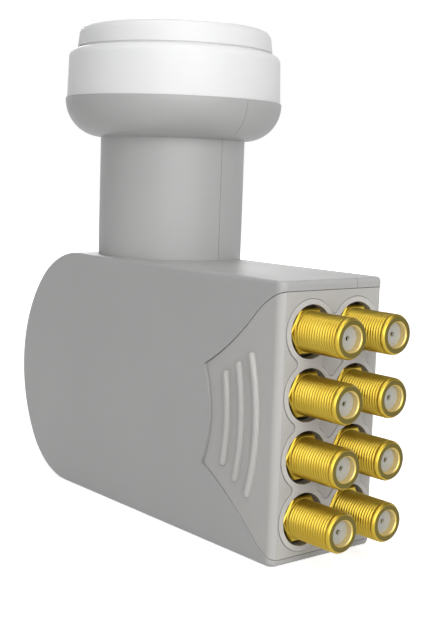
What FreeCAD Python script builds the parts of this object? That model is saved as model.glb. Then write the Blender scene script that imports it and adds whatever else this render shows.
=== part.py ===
import FreeCAD, Part
import os
import re

import Sketcher

# Eight-output satellite receiver head: a round feed under a pressed-on cap, a 40 mm clamping
# neck, a boxy weather housing in two halves, and a sliding weather cover round eight coaxial
# outputs. The origin is on the feed axis in the plane of the housing's top. Z points up the
# feed, -Y is the side with the outputs, X runs across the housing.

# Driving dimensions in millimetres. Lengths below the top plane are positive drops.
SIZES = {
    # clamping neck and collar
    "neck_radius": 20.0,
    "neck_wall": 2.2,
    "neck_height": 32.2,
    "collar_radius": 29.85,
    "collar_tuck": 0.15,
    "collar_lip": 0.3,
    "collar_wall": 2.4,
    # feed cap
    "cap_inset": 0.35,
    "cap_draft": 0.4,
    "cap_band_height": 13.2,
    "cap_shoulder_round": 2.3,
    "cap_disc_height": 6.3,
    "cap_edge_round": 2.6,
    "cap_dome_rise": 2.2,
    "cap_groove_width": 0.5,
    "cap_groove_depth": 0.5,
    "cap_wall": 1.5,
    "spigot_depth": 3.2,
    "spigot_gap": 0.25,
    "seal_radius": 0.65,
    "seal_level": 1.0,
    "seal_squeeze": 0.02,
    "seal_groove_width": 1.4,
    "seal_play": 0.07,
    # housing
    "cheek_left": 9.45,
    "cheek_right": 9.25,
    "body_front": 71.7,
    "body_rear": 41.85,
    "rear_radius": 39.3,
    "rear_corner_top": 25.7,
    "rear_corner_low": 21.8,
    "rear_drop": 34.8,
    "side_wall": 3.0,
    "top_wall": 2.3,
    "floor_wall": 1.6,
    "rear_wall": 2.2,
    "edge_round": 1.0,
    "corner_round": 2.1,
    "flank_drop": 40.0,
    "flank_round": 8.0,
    "parting": 1.4,
    "seam_gap": 0.12,
    # weather cover
    "slide_gap": 0.15,
    "cover_plate": 2.0,
    "cover_flange": 1.5,
    "flange_reach": 24.0,
    "wing_thickness": 1.2,
    "wing_sink": 0.15,
    "wing_dip": 0.7,
    "wing_reach": 26.75,
    "wing_tip_top": 22.5,
    "wing_tip_rise": 19.1,
    "wing_rear_radius": 26.7,
    "wing_top_radius": 70.0,
    "wing_bottom_radius": 84.0,
    "brow_reach": 9.2,
    "brow_drop": 8.9,
    "brow_radius": 22.9,
    "toe_reach": 6.9,
    "toe_rise": 6.0,
    "toe_radius": 17.2,
    "port_clearance": 0.32,
    "rim_overlap": 0.15,
    "rim_height": 0.3,
    "rim_cusp": 1.5,
    "rim_line_width": 0.22,
    "rim_line_depth": 0.18,
    # grip ribs on both wings of the cover
    "grip_radius": 57.0,
    "grip_half_width": 0.92,
    "grip_lift": 0.5,
    "grip_rise": 0.45,
    "grip_inset": 17.2,
    "grip_step": 5.15,
    "grip_half_length": 10.65,
    "grip_growth": 2.85,
    # coaxial outputs
    "array_offset": 6.0,
    "port_pitch_across": 14.6,
    "port_pitch_down": 14.7,
    "first_port_drop": 11.8,
    "last_port_rise": 10.3,
    "port_length": 13.2,
    "thread_radius": 4.76,
    "lead_in_step": 0.46,
    "lead_in_length": 0.7,
    "port_bore": 2.97,
    "hex_shoulder": 0.44,
    "hex_sink": 0.2,
    "hex_thickness": 4.1,
    "shank_radius": 4.0,
    "insulator_sink": 1.5,
    "insulator_length": 9.0,
    "contact_sink": 0.5,
    "contact_radius": 0.9,
    "contact_bore": 0.55,
    "tail_radius": 0.4,
    "tail_length": 4.0,
    # cast chassis with waveguide and feed horn
    "chassis_gap": 0.25,
    "chassis_front_wall": 4.0,
    "chassis_clearance": 0.35,
    "chassis_rear_gap": 16.9,
    "chassis_corner": 16.0,
    "chassis_wall": 4.0,
    "web_thickness": 2.0,
    "tube_radius": 12.5,
    "guide_radius": 9.5,
    "tube_drop": 24.0,
    "guide_drop": 21.0,
    "ring_gap": 0.2,
    "ring_height": 2.0,
    "ring_inset": 6.0,
    "horn_gap": 0.3,
    "horn_floor": 1.6,
    "horn_lift": 1.8,
    "horn_sink": 1.5,
    "horn_ring_wall": 1.2,
    "horn_ring_step": 5.6,
    "post_radius": 2.2,
    # lids, gaskets and boards
    "lid_thickness": 1.6,
    "gasket_thickness": 0.3,
    "notch_gap": 1.0,
    "board_gap": 0.25,
    "board_thickness": 0.8,
    "solder_gap": 0.05,
    "chip_size": 10.0,
    "chip_thickness": 1.2,
    "chip_inset": 23.4,
    "post_inset_front": 13.4,
    "post_inset_rear": 14.0,
    # screws
    "lid_screw_radius": 1.0,
    "lid_head_radius": 1.8,
    "screw_fit": 0.05,
    "lid_screw_length": 6.0,
    "lid_screw_inset": 4.4,
    "board_screw_length": 5.0,
    "board_head_height": 1.2,
    "shell_screw_radius": 1.2,
    "shell_head_radius": 2.3,
    "shell_head_height": 1.8,
    "shell_head_sink": 2.2,
    "shell_screw_length": 14.0,
    "boss_radius": 2.8,
    "boss_inset_top": 15.9,
    "boss_drop": 11.0,
    "boss_inset_middle": 7.9,
    "boss_lift": 1.5,
    "boss_inset_bottom": 14.4,
    "boss_rise": 9.7,
    # probes in the waveguide
    "probe_radius": 0.6,
    "probe_bead": 1.9,
    "probe_fit": 0.04,
    "probe_reach": 5.0,
    "probe_drop_across": 12.0,
    "probe_drop_along": 16.0,
    "probe_overlap": 4.0,
}

# Places worked out from the driving dimensions.
PLACES = {
    "body_left": "array_offset + port_pitch_across / 2 + cheek_left",
    "body_right": "port_pitch_across / 2 - array_offset + cheek_right",
    "body_height": "first_port_drop + 3 * port_pitch_down + last_port_rise",
    "collar_round": "collar_radius - neck_radius + collar_tuck",
    "seam_height": "neck_height + collar_round + collar_lip",
    "bowl_radius": "collar_round - collar_wall",
    "bowl_centre": "collar_radius - collar_round",
    "cap_band_top": "seam_height + cap_band_height",
    "cap_radius": "collar_radius - cap_inset",
    "cap_disc_radius": "cap_radius - cap_draft - cap_shoulder_round",
    "disc_top": "cap_band_top + cap_disc_height",
    "cap_top": "disc_top + cap_dome_rise",
    "spigot_radius": "bowl_centre + sqrt(bowl_radius^2 - spigot_depth^2) - spigot_gap",
    "spigot_inner": "spigot_radius - cap_wall",
    "seal_height": "neck_height + collar_round - seal_level",
    "seal_ring": "bowl_centre + sqrt(bowl_radius^2 - seal_level^2) - seal_radius - seal_squeeze",
    "inner_left": "-(body_left - side_wall)",
    "inner_right": "body_right - side_wall",
    "bore_radius": "neck_radius - neck_wall",
    "cover_top": "-(top_wall + slide_gap)",
    "cover_bottom": "-(body_height - floor_wall - slide_gap)",
    "plate_back": "-(body_front - cover_plate)",
    "wing_left": "-(body_left - wing_sink)",
    "wing_right": "body_right - wing_sink",
    "wing_tip_bottom": "body_height - wing_tip_rise",
    "toe_drop": "body_height - toe_rise",
    "grip_drop": "(wing_tip_top + wing_tip_bottom) / 2 - grip_lift",
    "recess_depth": "wing_sink + wing_dip + wing_thickness + slide_gap",
    "hex_radius": "(thread_radius + hex_shoulder) / cos(30)",
    "port_radius": "hex_radius + port_clearance",
    "rim_radius": "port_pitch_down / 2 + rim_overlap",
    "lead_in_radius": "thread_radius - lead_in_step",
    "port_tip": "-(body_front + port_length)",
    "hex_front": "-(body_front - hex_sink)",
    "chassis_front": "hex_front + hex_thickness",
    "pocket_front": "chassis_front + chassis_front_wall",
    "chassis_top": "cover_top - cover_flange - chassis_clearance",
    "chassis_bottom": "cover_bottom + cover_flange + chassis_clearance",
    "lid_left": "inner_left + chassis_gap",
    "lid_right": "inner_right - chassis_gap",
    "rim_left": "lid_left + lid_thickness + gasket_thickness",
    "rim_right": "lid_right - lid_thickness - gasket_thickness",
    "web_left": "-(array_offset + web_thickness / 2)",
    "web_right": "-(array_offset - web_thickness / 2)",
    "chassis_rear": "body_rear - chassis_rear_gap",
    "pocket_rear": "chassis_rear - chassis_wall",
    "pocket_top": "chassis_top - chassis_wall",
    "pocket_bottom": "chassis_bottom + chassis_wall",
    "pocket_corner": "chassis_corner - chassis_wall",
    "horn_seat": "neck_height + collar_wall + horn_lift",
    "horn_top": "seam_height - horn_sink",
    "horn_drop": "neck_height + collar_round - horn_seat",
    "horn_radius": "bowl_centre + sqrt(bowl_radius^2 - horn_drop^2) - horn_gap",
    "horn_ring_inner": "horn_radius - horn_ring_wall - horn_ring_step",
    "notch_half_width": "tube_radius + notch_gap",
    "notch_drop": "tube_drop + notch_gap",
    "row_gap_top": "first_port_drop + port_pitch_down / 2",
    "row_gap_middle": "first_port_drop + 3 * port_pitch_down / 2",
    "row_gap_bottom": "first_port_drop + 5 * port_pitch_down / 2",
    "lid_screw_front": "pocket_front + lid_screw_inset",
    "lid_screw_middle": "(pocket_front + pocket_rear) / 2",
    "post_front": "pocket_front + post_inset_front",
    "post_rear": "chassis_rear - post_inset_rear",
    "chip_front": "pocket_front + chip_inset - chip_size / 2",
    "chip_top": "chip_size / 2 - row_gap_middle",
    "column_left": "-(array_offset + port_pitch_across / 2)",
    "column_right": "-(array_offset - port_pitch_across / 2)",
    "board_left": "column_left - tail_radius - solder_gap",
    "board_right": "column_right + tail_radius + solder_gap",
    "insulator_front": "port_tip + insulator_sink",
    "insulator_back": "insulator_front + insulator_length",
    "contact_front": "insulator_front + contact_sink",
}
NAMES = sorted([*SIZES, *PLACES], key=len, reverse=True)
NAME_PATTERN = re.compile(r"\b(" + "|".join(NAMES) + r")\b")

doc = FreeCAD.newDocument("ReceiverHead")
sheet = doc.addObject("Spreadsheet::Sheet", "Sizes")
for row, (alias, size) in enumerate(SIZES.items(), 1):
    sheet.set(f"A{row}", alias)
    sheet.set(f"B{row}", str(size))
    sheet.setAlias(f"B{row}", alias)
doc.recompute()

NODES = []


def sized(formula):
    """The formula with every place written out and every size pointing at its cell."""
    def written_out(match):
        word = match.group(1)
        return f"({sized(PLACES[word])})" if word in PLACES else f"Sizes.{word}"
    return NAME_PATTERN.sub(written_out, str(formula))


def number(formula):
    """The formula's present value, for a sketch's first guess."""
    return float(sheet.evalExpression(sized(formula)))


def bind(thing, **formulas):
    """Ties properties of an object to formulas; x, y and z stand for its place."""
    for name, formula in formulas.items():
        target = f"Placement.Base.{name}" if name in ("x", "y", "z") else name
        thing.setExpression(target, sized(formula))
    return thing


def node(thing, label):
    """Marks an object as a sub-part; the label names its file."""
    thing.Label = label
    NODES.append(thing)
    return thing


# Solids from primitives

def box(name, x, y, z):
    """Box between pairs of formulas along each axis."""
    thing = doc.addObject("Part::Box", name)
    bind(thing, x=x[0], y=y[0], z=z[0])
    for side, (low, high) in zip(("Length", "Width", "Height"), (x, y, z)):
        bind(thing, **{side: f"({high}) - ({low})"})
    return thing


TURNS = {
    "x": FreeCAD.Rotation(FreeCAD.Vector(0, 1, 0), 90),
    "y": FreeCAD.Rotation(FreeCAD.Vector(1, 0, 0), -90),
    "z": FreeCAD.Rotation(),
}


def round_bar(name, axis, radius, span, place):
    """Cylinder along an axis between two formulas; place gives its other two coordinates."""
    thing = doc.addObject("Part::Cylinder", name)
    thing.Placement = FreeCAD.Placement(FreeCAD.Vector(), TURNS[axis])
    others = [letter for letter in "xyz" if letter != axis]
    bind(thing, **{axis: span[0]}, **dict(zip(others, place)))
    bind(thing, Radius=radius, Height=f"({span[1]}) - ({span[0]})")
    return thing


def taper_bar(name, axis, radii, span, place):
    """Cone frustum along an axis, from the first radius to the second."""
    thing = doc.addObject("Part::Cone", name)
    thing.Placement = FreeCAD.Placement(FreeCAD.Vector(), TURNS[axis])
    others = [letter for letter in "xyz" if letter != axis]
    bind(thing, **{axis: span[0]}, **dict(zip(others, place)))
    bind(thing, Radius1=radii[0], Radius2=radii[1], Height=f"({span[1]}) - ({span[0]})")
    return thing


def fused(name, shapes):
    """One solid from several."""
    thing = doc.addObject("Part::MultiFuse", name)
    thing.Shapes = shapes
    return thing


def cut(name, base, *tools):
    """The base less the tools."""
    thing = doc.addObject("Part::Cut", name)
    thing.Base = base
    thing.Tool = tools[0] if len(tools) == 1 else fused(name + "Tools", list(tools))
    return thing


def shared(name, *shapes):
    """What the solids have in common."""
    thing = doc.addObject("Part::MultiCommon", name)
    thing.Shapes = list(shapes)
    return thing


def group(name, shapes):
    """Separate like solids kept as one piece."""
    thing = doc.addObject("Part::Compound", name)
    thing.Links = shapes
    return thing


# Solids from sketches

def sketched(name, plane, offset="0"):
    """A new body and a sketch on one of its origin planes, moved along the plane's normal."""
    body = doc.addObject("PartDesign::Body", name)
    sketch = body.newObject("Sketcher::SketchObject", name + "Sketch")
    origin_plane = next(f for f in body.Origin.OriginFeatures if f.Role == plane)
    sketch.AttachmentSupport = [(origin_plane, "")]
    sketch.MapMode = "FlatFace"
    sketch.setExpression("AttachmentOffset.Base.z", sized(offset))
    return body, sketch


def dimension(sketch, kind, formula, *where):
    """One driving dimension of a sketch, tied to its formula."""
    index = sketch.addConstraint(Sketcher.Constraint(kind, *where, number(formula)))
    label = f"size{index}"
    sketch.renameConstraint(index, label)
    sketch.setExpression(f"Constraints.{label}", sized(formula))


def outline(sketch, corners):
    """Closed outline through corners (across, up) or (across, up, bulge). A bulge is the formula
    of the radius of the arc that leads to the next corner, positive when the arc turns left."""
    spots = [FreeCAD.Vector(number(c[0]), number(c[1]), 0) for c in corners]
    edges = []
    for index, corner in enumerate(corners):
        start = spots[index]
        end = spots[(index + 1) % len(spots)]
        if len(corner) == 2:
            curve = Part.LineSegment(start, end)
        else:
            curve = arc_between(start, end, number(corner[2]))
        edges.append(sketch.addGeometry(curve, False))
    for index, corner in enumerate(corners):
        here = edges[index]
        after = edges[(index + 1) % len(edges)]
        turns_left = len(corner) == 2 or number(corner[2]) > 0
        after_corner = corners[(index + 1) % len(corners)]
        after_left = len(after_corner) == 2 or number(after_corner[2]) > 0
        sketch.addConstraint(Sketcher.Constraint(
            "Coincident", here, 2 if turns_left else 1, after, 1 if after_left else 2))
        first = 1 if turns_left else 2
        dimension(sketch, "DistanceX", corner[0], -1, 1, here, first)
        dimension(sketch, "DistanceY", corner[1], -1, 1, here, first)
        if len(corner) == 3:
            dimension(sketch, "Radius", corner[2].lstrip("-"), here)


def arc_between(start, end, radius):
    """Short arc of a signed radius from start to end, left-turning when positive."""
    chord = end - start
    middle = (start + end) * 0.5
    reach = (max(radius * radius - chord.Length ** 2 / 4, 0.0)) ** 0.5
    across = FreeCAD.Vector(-chord.y, chord.x, 0).normalize()
    centre = middle + across * (reach if radius > 0 else -reach)
    bulge = across * (-abs(radius) if radius > 0 else abs(radius))
    return Part.Arc(start, centre + bulge, end)


def circle(sketch, across, up, radius):
    """Circle with its place and radius tied to formulas."""
    centre = FreeCAD.Vector(number(across), number(up), 0)
    ring = Part.Circle(centre, FreeCAD.Vector(0, 0, 1), number(radius))
    edge = sketch.addGeometry(ring, False)
    dimension(sketch, "DistanceX", across, -1, 1, edge, 3)
    dimension(sketch, "DistanceY", up, -1, 1, edge, 3)
    dimension(sketch, "Radius", radius, edge)


def padded(body, sketch, length, backwards=False):
    """The sketch pulled out along its plane's normal, or against it."""
    feature = body.newObject("PartDesign::Pad", body.Name + "Pad")
    feature.Profile = sketch
    feature.Reversed = backwards
    bind(feature, Length=length)
    return body


def turned(name, corners):
    """Solid of revolution about Z, from corners given as (radius, height)."""
    body, sketch = sketched(name, "XZ_Plane")
    outline(sketch, corners)
    feature = body.newObject("PartDesign::Revolution", name + "Turn")
    feature.Profile = sketch
    feature.ReferenceAxis = (sketch, ["V_Axis"])
    return body


def rounded(body, radius, wanted):
    """Rounds the edges of a body that a test picks by their middle point and direction."""
    doc.recompute()
    base = body.Tip
    picked = []
    for index, edge in enumerate(base.Shape.Edges, 1):
        middle = edge.valueAt((edge.FirstParameter + edge.LastParameter) / 2)
        along = edge.tangentAt((edge.FirstParameter + edge.LastParameter) / 2)
        if wanted(middle, along):
            picked.append(f"Edge{index}")
    feature = body.newObject("PartDesign::Fillet", body.Name + "Round")
    feature.Base = (base, picked)
    bind(feature, Radius=radius)
    body.Tip = feature
    return body


def near(value, formula):
    """True where a coordinate lies on a place."""
    return abs(value - number(formula)) < 0.01


# Housing

def side_outline(name, left, right, top, floor, inset):
    """The housing's side outline, flat in front and D-shaped behind, pulled out across X. The
    inset moves its three rear arcs inwards."""
    body, sketch = sketched(name, "YZ_Plane", left)
    front = "-body_front"
    centre = "(body_rear - rear_radius)"
    arc = f"(rear_radius - {inset})"
    high = f"(rear_corner_top - {inset})"
    low = f"(rear_corner_low - {inset})"
    rise = f"({top} - {high} + rear_drop)"
    fall = f"({floor} + {low} + rear_drop)"
    top_reach = f"sqrt((rear_radius - rear_corner_top)^2 - {rise}^2)"
    low_reach = f"sqrt((rear_radius - rear_corner_low)^2 - {fall}^2)"
    top_share = f"{arc} / (rear_radius - rear_corner_top)"
    low_share = f"{arc} / (rear_radius - rear_corner_low)"
    outline(sketch, [
        (front, floor),
        (f"{centre} + {low_reach}", floor, low),
        (f"{centre} + {low_reach} * {low_share}", f"{fall} * {low_share} - rear_drop", arc),
        (f"{centre} + {top_reach} * {top_share}", f"{rise} * {top_share} - rear_drop", high),
        (f"{centre} + {top_reach}", top),
        (front, top),
    ])
    return padded(body, sketch, f"({right}) - ({left})")


def housing_form():
    """The housing's outer form before it is hollowed and parted."""
    block = side_outline("HousingBlock", "-body_left", "body_right", "0", "-body_height", "0")
    rounded(block, "corner_round",
            lambda middle, along: near(middle.y, "-body_front") and abs(along.z) > 0.9)
    rounded(block, "edge_round",
            lambda middle, along: near(middle.z, "0") and abs(along.y) > 0.9)
    feed = turned("FeedForm", [
        ("0", "-top_wall"),
        ("neck_radius", "-top_wall"),
        ("neck_radius", "neck_height"),
        ("bowl_centre + 0.3", "neck_height"),
        ("bowl_centre + 0.3", "neck_height + collar_lip"),
        ("0", "neck_height + collar_lip"),
    ])
    collar = turned("CollarForm", [
        ("0", "neck_height"),
        ("bowl_centre", "neck_height", "collar_round"),
        ("collar_radius", "neck_height + collar_round"),
        ("collar_radius", "seam_height"),
        ("0", "seam_height"),
    ])
    flank = turned("FlankForm", [
        ("0", "-flank_drop"),
        ("neck_radius - flank_round", "-flank_drop", "flank_round"),
        ("neck_radius", "-(flank_drop - flank_round)"),
        ("neck_radius", "-edge_round"),
        ("0", "-edge_round"),
    ])
    return fused("HousingForm", [block, feed, collar, flank])


def housing_cavity():
    """The hollow inside the housing, its neck and its collar."""
    hollow = side_outline("HousingHollow", "inner_left", "inner_right", "-top_wall",
                          "-(body_height - floor_wall)", "rear_wall")
    feed = turned("FeedHollow", [
        ("0", "-(flank_drop - neck_wall)"),
        ("bore_radius", "-(flank_drop - neck_wall)"),
        ("bore_radius", "neck_height + collar_wall"),
        ("bowl_centre", "neck_height + collar_wall", "bowl_radius"),
        ("bowl_centre + bowl_radius", "neck_height + collar_round"),
        ("bowl_centre + bowl_radius", "seam_height"),
        ("0", "seam_height"),
    ])
    return fused("HousingCavity", [hollow, feed])


def wing_outline(sketch):
    """Side outline of the weather cover: a scooped grip wing between two swept shoulders."""
    front = "-body_front"
    tip = "-(body_front - wing_reach)"
    outline(sketch, [
        (front, "cover_bottom", "toe_radius"),
        ("-(body_front - toe_reach)", "-toe_drop", "-wing_bottom_radius"),
        (tip, "-wing_tip_bottom", "-wing_rear_radius"),
        (tip, "-wing_tip_top", "-wing_top_radius"),
        ("-(body_front - brow_reach)", "-brow_drop", "brow_radius"),
        (front, "cover_top"),
    ])


def cover_side(name):
    """The cover's side outline pulled right across the housing."""
    body, sketch = sketched(name, "YZ_Plane", "-(body_left + 5)")
    wing_outline(sketch)
    return padded(body, sketch, "body_left + body_right + 10")


def shell_halves():
    """Left and right weather housing halves, parted in a plane along the feed."""
    side = cover_side("RecessSide")
    slot = doc.addObject("Part::Offset2D", "RecessOutline")
    slot.Source = side.Group[0]
    bind(slot, Value="slide_gap")
    slab = doc.addObject("Part::Extrusion", "RecessSlab")
    slab.Base = slot
    slab.Solid = True
    slab.DirMode = "Custom"
    slab.Dir = FreeCAD.Vector(1, 0, 0)
    bind(slab, LengthFwd="body_left + body_right + 10")
    left_slot = shared("RecessLeft", slab, box(
        "RecessLeftBox", ("-(body_left + 4)", "-(body_left - recess_depth)"),
        ("-(body_front + 4)", "0"), ("-body_height", "0")))
    right_slot = shared("RecessRight", slab, box(
        "RecessRightBox", ("body_right - recess_depth", "body_right + 4"),
        ("-(body_front + 4)", "0"), ("-body_height", "0")))
    ahead = ("-(body_front + 4)", "plate_back + slide_gap")
    mouth = shared("FrontMouth", slab, box(
        "FrontMouthBox", ("-(body_left + 4)", "body_right + 4"), ahead, ("-body_height", "0")))
    throat = box("FrontThroat", ("inner_left", "inner_right"), ahead,
                 ("cover_bottom - slide_gap", "cover_top + slide_gap"))
    whole = cut("HousingShell", housing_form(), housing_cavity(), left_slot, right_slot,
                mouth, throat)
    bosses = screw_bosses()
    far = "body_left + body_front"
    left_half = shared("LeftHalf", whole, box(
        "LeftSpace", (f"-({far})", "parting - seam_gap / 2"), (f"-({far})", far), (f"-({far})", far)))
    right_half = shared("RightHalf", whole, box(
        "RightSpace", ("parting + seam_gap / 2", far), (f"-({far})", far), (f"-({far})", far)))
    left = cut("LeftShell", fused("LeftShellSolid", [left_half, *bosses["left"]]), *bosses["pilot"])
    right = cut("RightShell", fused("RightShellSolid", [right_half, *bosses["right"]]),
                *bosses["clear"])
    node(left, "left_shell")
    node(right, "right_shell")
    node(group("ShellScrews", bosses["screws"]), "shell_screws")


def screw_bosses():
    """Bosses, holes and recessed screws that hold the two housing halves together."""
    made = {"left": [], "right": [], "pilot": [], "clear": [], "screws": []}
    seat = "body_right - shell_head_sink"
    under_head = f"{seat} - shell_head_height"
    spots = {
        "Top": ("body_rear - boss_inset_top", "-boss_drop"),
        "Middle": ("body_rear - boss_inset_middle", "boss_lift - rear_drop"),
        "Bottom": ("body_rear - boss_inset_bottom", "boss_rise - body_height"),
    }
    for title, place in spots.items():
        made["left"].append(round_bar(
            "BossLeft" + title, "x", "boss_radius",
            ("inner_left - side_wall / 2", "parting - seam_gap / 2"), place))
        made["right"].append(round_bar(
            "BossRight" + title, "x", "boss_radius",
            ("parting + seam_gap / 2", "inner_right + side_wall / 2"), place))
        made["pilot"].append(round_bar(
            "Pilot" + title, "x", "shell_screw_radius + screw_fit",
            (f"{under_head} - shell_screw_length - 1", "parting"), place))
        made["clear"].append(round_bar(
            "Clear" + title, "x", "shell_screw_radius + screw_fit",
            ("parting - 1", "body_right + 1"), place))
        made["clear"].append(round_bar(
            "Counterbore" + title, "x", "shell_head_radius + screw_fit",
            (under_head, "body_right + 1"), place))
        shank = round_bar("ShellShank" + title, "x", "shell_screw_radius",
                          (f"{under_head} - shell_screw_length", under_head), place)
        head = round_bar("ShellHead" + title, "x", "shell_head_radius",
                         (under_head, seat), place)
        socket = round_bar("ShellSocket" + title, "x", "shell_head_radius / 2",
                           (f"{seat} - shell_head_height / 2", "body_right"), place)
        made["screws"].append(cut("ShellScrew" + title, fused("ShellScrewSolid" + title, [shank, head]),
                                  socket))
    return made


# Weather cover

def cover_plan():
    """Plan of the cover: front plate and two wings whose outer faces dip towards their ends."""
    body, sketch = sketched("CoverPlan", "XY_Plane", "cover_bottom")
    front = "-body_front"
    back = "-(body_front - wing_reach)"
    flat = "-(body_front - brow_reach / 2)"
    run = "(wing_reach - brow_reach / 2)"
    dip_radius = f"({run}^2 + wing_dip^2) / (2 * wing_dip)"
    outline(sketch, [
        ("wing_left + corner_round", front),
        ("wing_right - corner_round", front, "corner_round"),
        ("wing_right", "-(body_front - corner_round)"),
        ("wing_right", flat, dip_radius),
        ("wing_right - wing_dip", back),
        ("wing_right - wing_dip - wing_thickness", back),
        ("wing_right - wing_dip - wing_thickness", "plate_back"),
        ("wing_left + wing_dip + wing_thickness", "plate_back"),
        ("wing_left + wing_dip + wing_thickness", back),
        ("wing_left + wing_dip", back, dip_radius),
        ("wing_left", flat),
        ("wing_left", "-(body_front - corner_round)", "corner_round"),
    ])
    return padded(body, sketch, "cover_top - cover_bottom")


def grip_rib(name, side, order):
    """One bowed grip rib: a ring segment with ball ends that stands on the wing's face."""
    reach = f"(grip_inset - {order} * grip_step)"
    half = f"(grip_half_length + {order} * grip_growth)"
    across = "wing_left + wing_dip / 2 - grip_rise"
    if side == "Right":
        across = "wing_right - wing_dip / 2 + grip_rise"
    apex = f"-(body_front - {reach})"
    body, sketch = sketched(name, "XY_Plane", "-grip_drop")
    circle(sketch, across, apex, "grip_half_width")
    hub = FreeCAD.Vector(0, number(f"{apex} + grip_radius"), 0)
    axis = sketch.addGeometry(Part.LineSegment(hub, hub + FreeCAD.Vector(10, 0, 0)), True)
    sketch.addConstraint(Sketcher.Constraint("Horizontal", axis))
    sketch.addConstraint(Sketcher.Constraint("PointOnObject", axis, 1, -2))
    dimension(sketch, "DistanceY", f"{apex} + grip_radius", -1, 1, axis, 1)
    dimension(sketch, "Distance", "grip_half_width", axis)
    feature = body.newObject("PartDesign::Revolution", name + "Turn")
    feature.Profile = sketch
    feature.ReferenceAxis = (sketch, ["Axis0"])
    feature.Midplane = True
    bind(feature, Angle=f"2 * asin({half} / grip_radius)")
    ends = []
    for title, sign in (("Upper", "1"), ("Lower", "-1")):
        ball = doc.addObject("Part::Sphere", name + title)
        bind(ball, x=across, z=f"-grip_drop + ({sign}) * {half}", Radius="grip_half_width",
             y=f"{apex} + grip_radius - sqrt(grip_radius^2 - {half}^2)")
        ends.append(ball)
    return [body, *ends]


def port_places():
    """Places of the eight outputs, left column first, from the top down."""
    for column in ("column_left", "column_right"):
        for step in range(4):
            yield column, f"-(first_port_drop + {step} * port_pitch_down)"


def rim_network(walls):
    """The raised rims round all ports, run together with rounded cusps and kept on the plate,
    and the fine line cut along their outside."""
    span = ("-(body_front + rim_height)", "plate_back")
    discs = fused("RimDiscs", [round_bar(f"Rim{index}", "y", "rim_radius", span, place)
                               for index, place in enumerate(port_places(), 1)])
    discs.Refine = True
    network = doc.addObject("PartDesign::Body", "RimNetwork")
    network.BaseFeature = discs
    doc.recompute()
    gaps = ("-row_gap_top", "-row_gap_middle", "-row_gap_bottom")
    rounded(network, "rim_cusp", lambda middle, along: abs(along.y) > 0.9 and (
        near(middle.x, "-array_offset") or any(near(middle.z, gap) for gap in gaps)))
    ahead = doc.addObject("Part::Offset", "RimSpace")
    ahead.Source = walls
    bind(ahead, Value="rim_height")
    wider = doc.addObject("Part::Offset", "RimLineOuter")
    wider.Source = network
    bind(wider, Value="rim_line_width")
    skin = box("RimLineDepth", ("-body_left", "body_right"),
               ("-(body_front + 1)", "-(body_front - rim_line_depth)"), ("-body_height", "0"))
    line = cut("RimLine", shared("RimLineBand", wider, skin), network)
    return shared("Rims", network, ahead), line


def weather_cover():
    """Sliding weather cover with grip wings, eight rimmed ports and two guide flanges."""
    plan = cover_plan()
    walls = shared("CoverWalls", plan, cover_side("CoverSide"))
    ports = [round_bar(f"Port{index}", "y", "port_radius",
                       ("-(body_front + 2 * rim_height)", "plate_back + 1"), place)
             for index, place in enumerate(port_places(), 1)]
    span = ("inner_left + slide_gap", "inner_right - slide_gap")
    depth = ("plate_back - cover_plate / 2", "-(body_front - flange_reach)")
    flanges = [
        box("FlangeTop", span, depth, ("cover_top - cover_flange", "cover_top")),
        box("FlangeBottom", span, depth, ("cover_bottom", "cover_bottom + cover_flange")),
    ]
    grips = []
    for side in ("Left", "Right"):
        for order in range(3):
            grips += grip_rib(f"Grip{side}{order}", side, order)
    rims, line = rim_network(plan)
    solid = fused("CoverSolid", [walls, rims, *flanges, *grips])
    node(cut("WeatherCover", solid, line, *ports), "weather_cover")


# Outputs

def outputs():
    """Eight coaxial outputs, each a threaded body, an insulator and a sunk, sprung contact."""
    for index, (across, height) in enumerate(port_places(), 1):
        place = (across, height)
        barrel = round_bar(f"Barrel{index}", "y", "thread_radius",
                           ("port_tip + lead_in_length", "hex_front + hex_thickness / 2"), place)
        lead_in = taper_bar(f"LeadIn{index}", "y", ("lead_in_radius", "thread_radius"),
                            ("port_tip", "port_tip + lead_in_length"), place)
        flange = doc.addObject("Part::Prism", f"Hexagon{index}")
        flange.Polygon = 6
        flange.Placement = FreeCAD.Placement(FreeCAD.Vector(), TURNS["y"])
        bind(flange, x=across, y="hex_front", z=height, Circumradius="hex_radius",
             Height="hex_thickness")
        shank = round_bar(f"Shank{index}", "y", "shank_radius", ("hex_front", "pocket_front"), place)
        bore = round_bar(f"Bore{index}", "y", "port_bore", ("port_tip - 1", "insulator_back"), place)
        exit_hole = round_bar(f"Exit{index}", "y", "contact_radius * 2",
                              ("insulator_back - 1", "pocket_front + 1"), place)
        body = fused(f"ConnectorSolid{index}", [barrel, lead_in, flange, shank])
        node(cut(f"Connector{index}", body, bore, exit_hole), f"f_connector_{index}")
        plug = round_bar(f"Plug{index}", "y", "port_bore - screw_fit / 2",
                         ("insulator_front", "insulator_back"), place)
        eyelet = round_bar(f"PlugEyelet{index}", "y", "contact_bore",
                           ("insulator_front - 1", "contact_front + 1"), place)
        hole = round_bar(f"PlugHole{index}", "y", "contact_radius + screw_fit / 2",
                         ("contact_front", "insulator_back + 1"), place)
        node(cut(f"Insulator{index}", plug, eyelet, hole), f"insulator_{index}")
        sleeve = round_bar(f"Sleeve{index}", "y", "contact_radius",
                           ("contact_front", "insulator_back"), place)
        tail = round_bar(f"Tail{index}", "y", "tail_radius",
                         ("insulator_back", "pocket_front + tail_length"), place)
        eye = round_bar(f"Eye{index}", "y", "contact_bore",
                        ("insulator_front - 1", "insulator_back - 1"), place)
        node(cut(f"Contact{index}", fused(f"ContactSolid{index}", [sleeve, tail]), eye),
             f"centre_contact_{index}")


# Chassis, lids and boards

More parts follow.
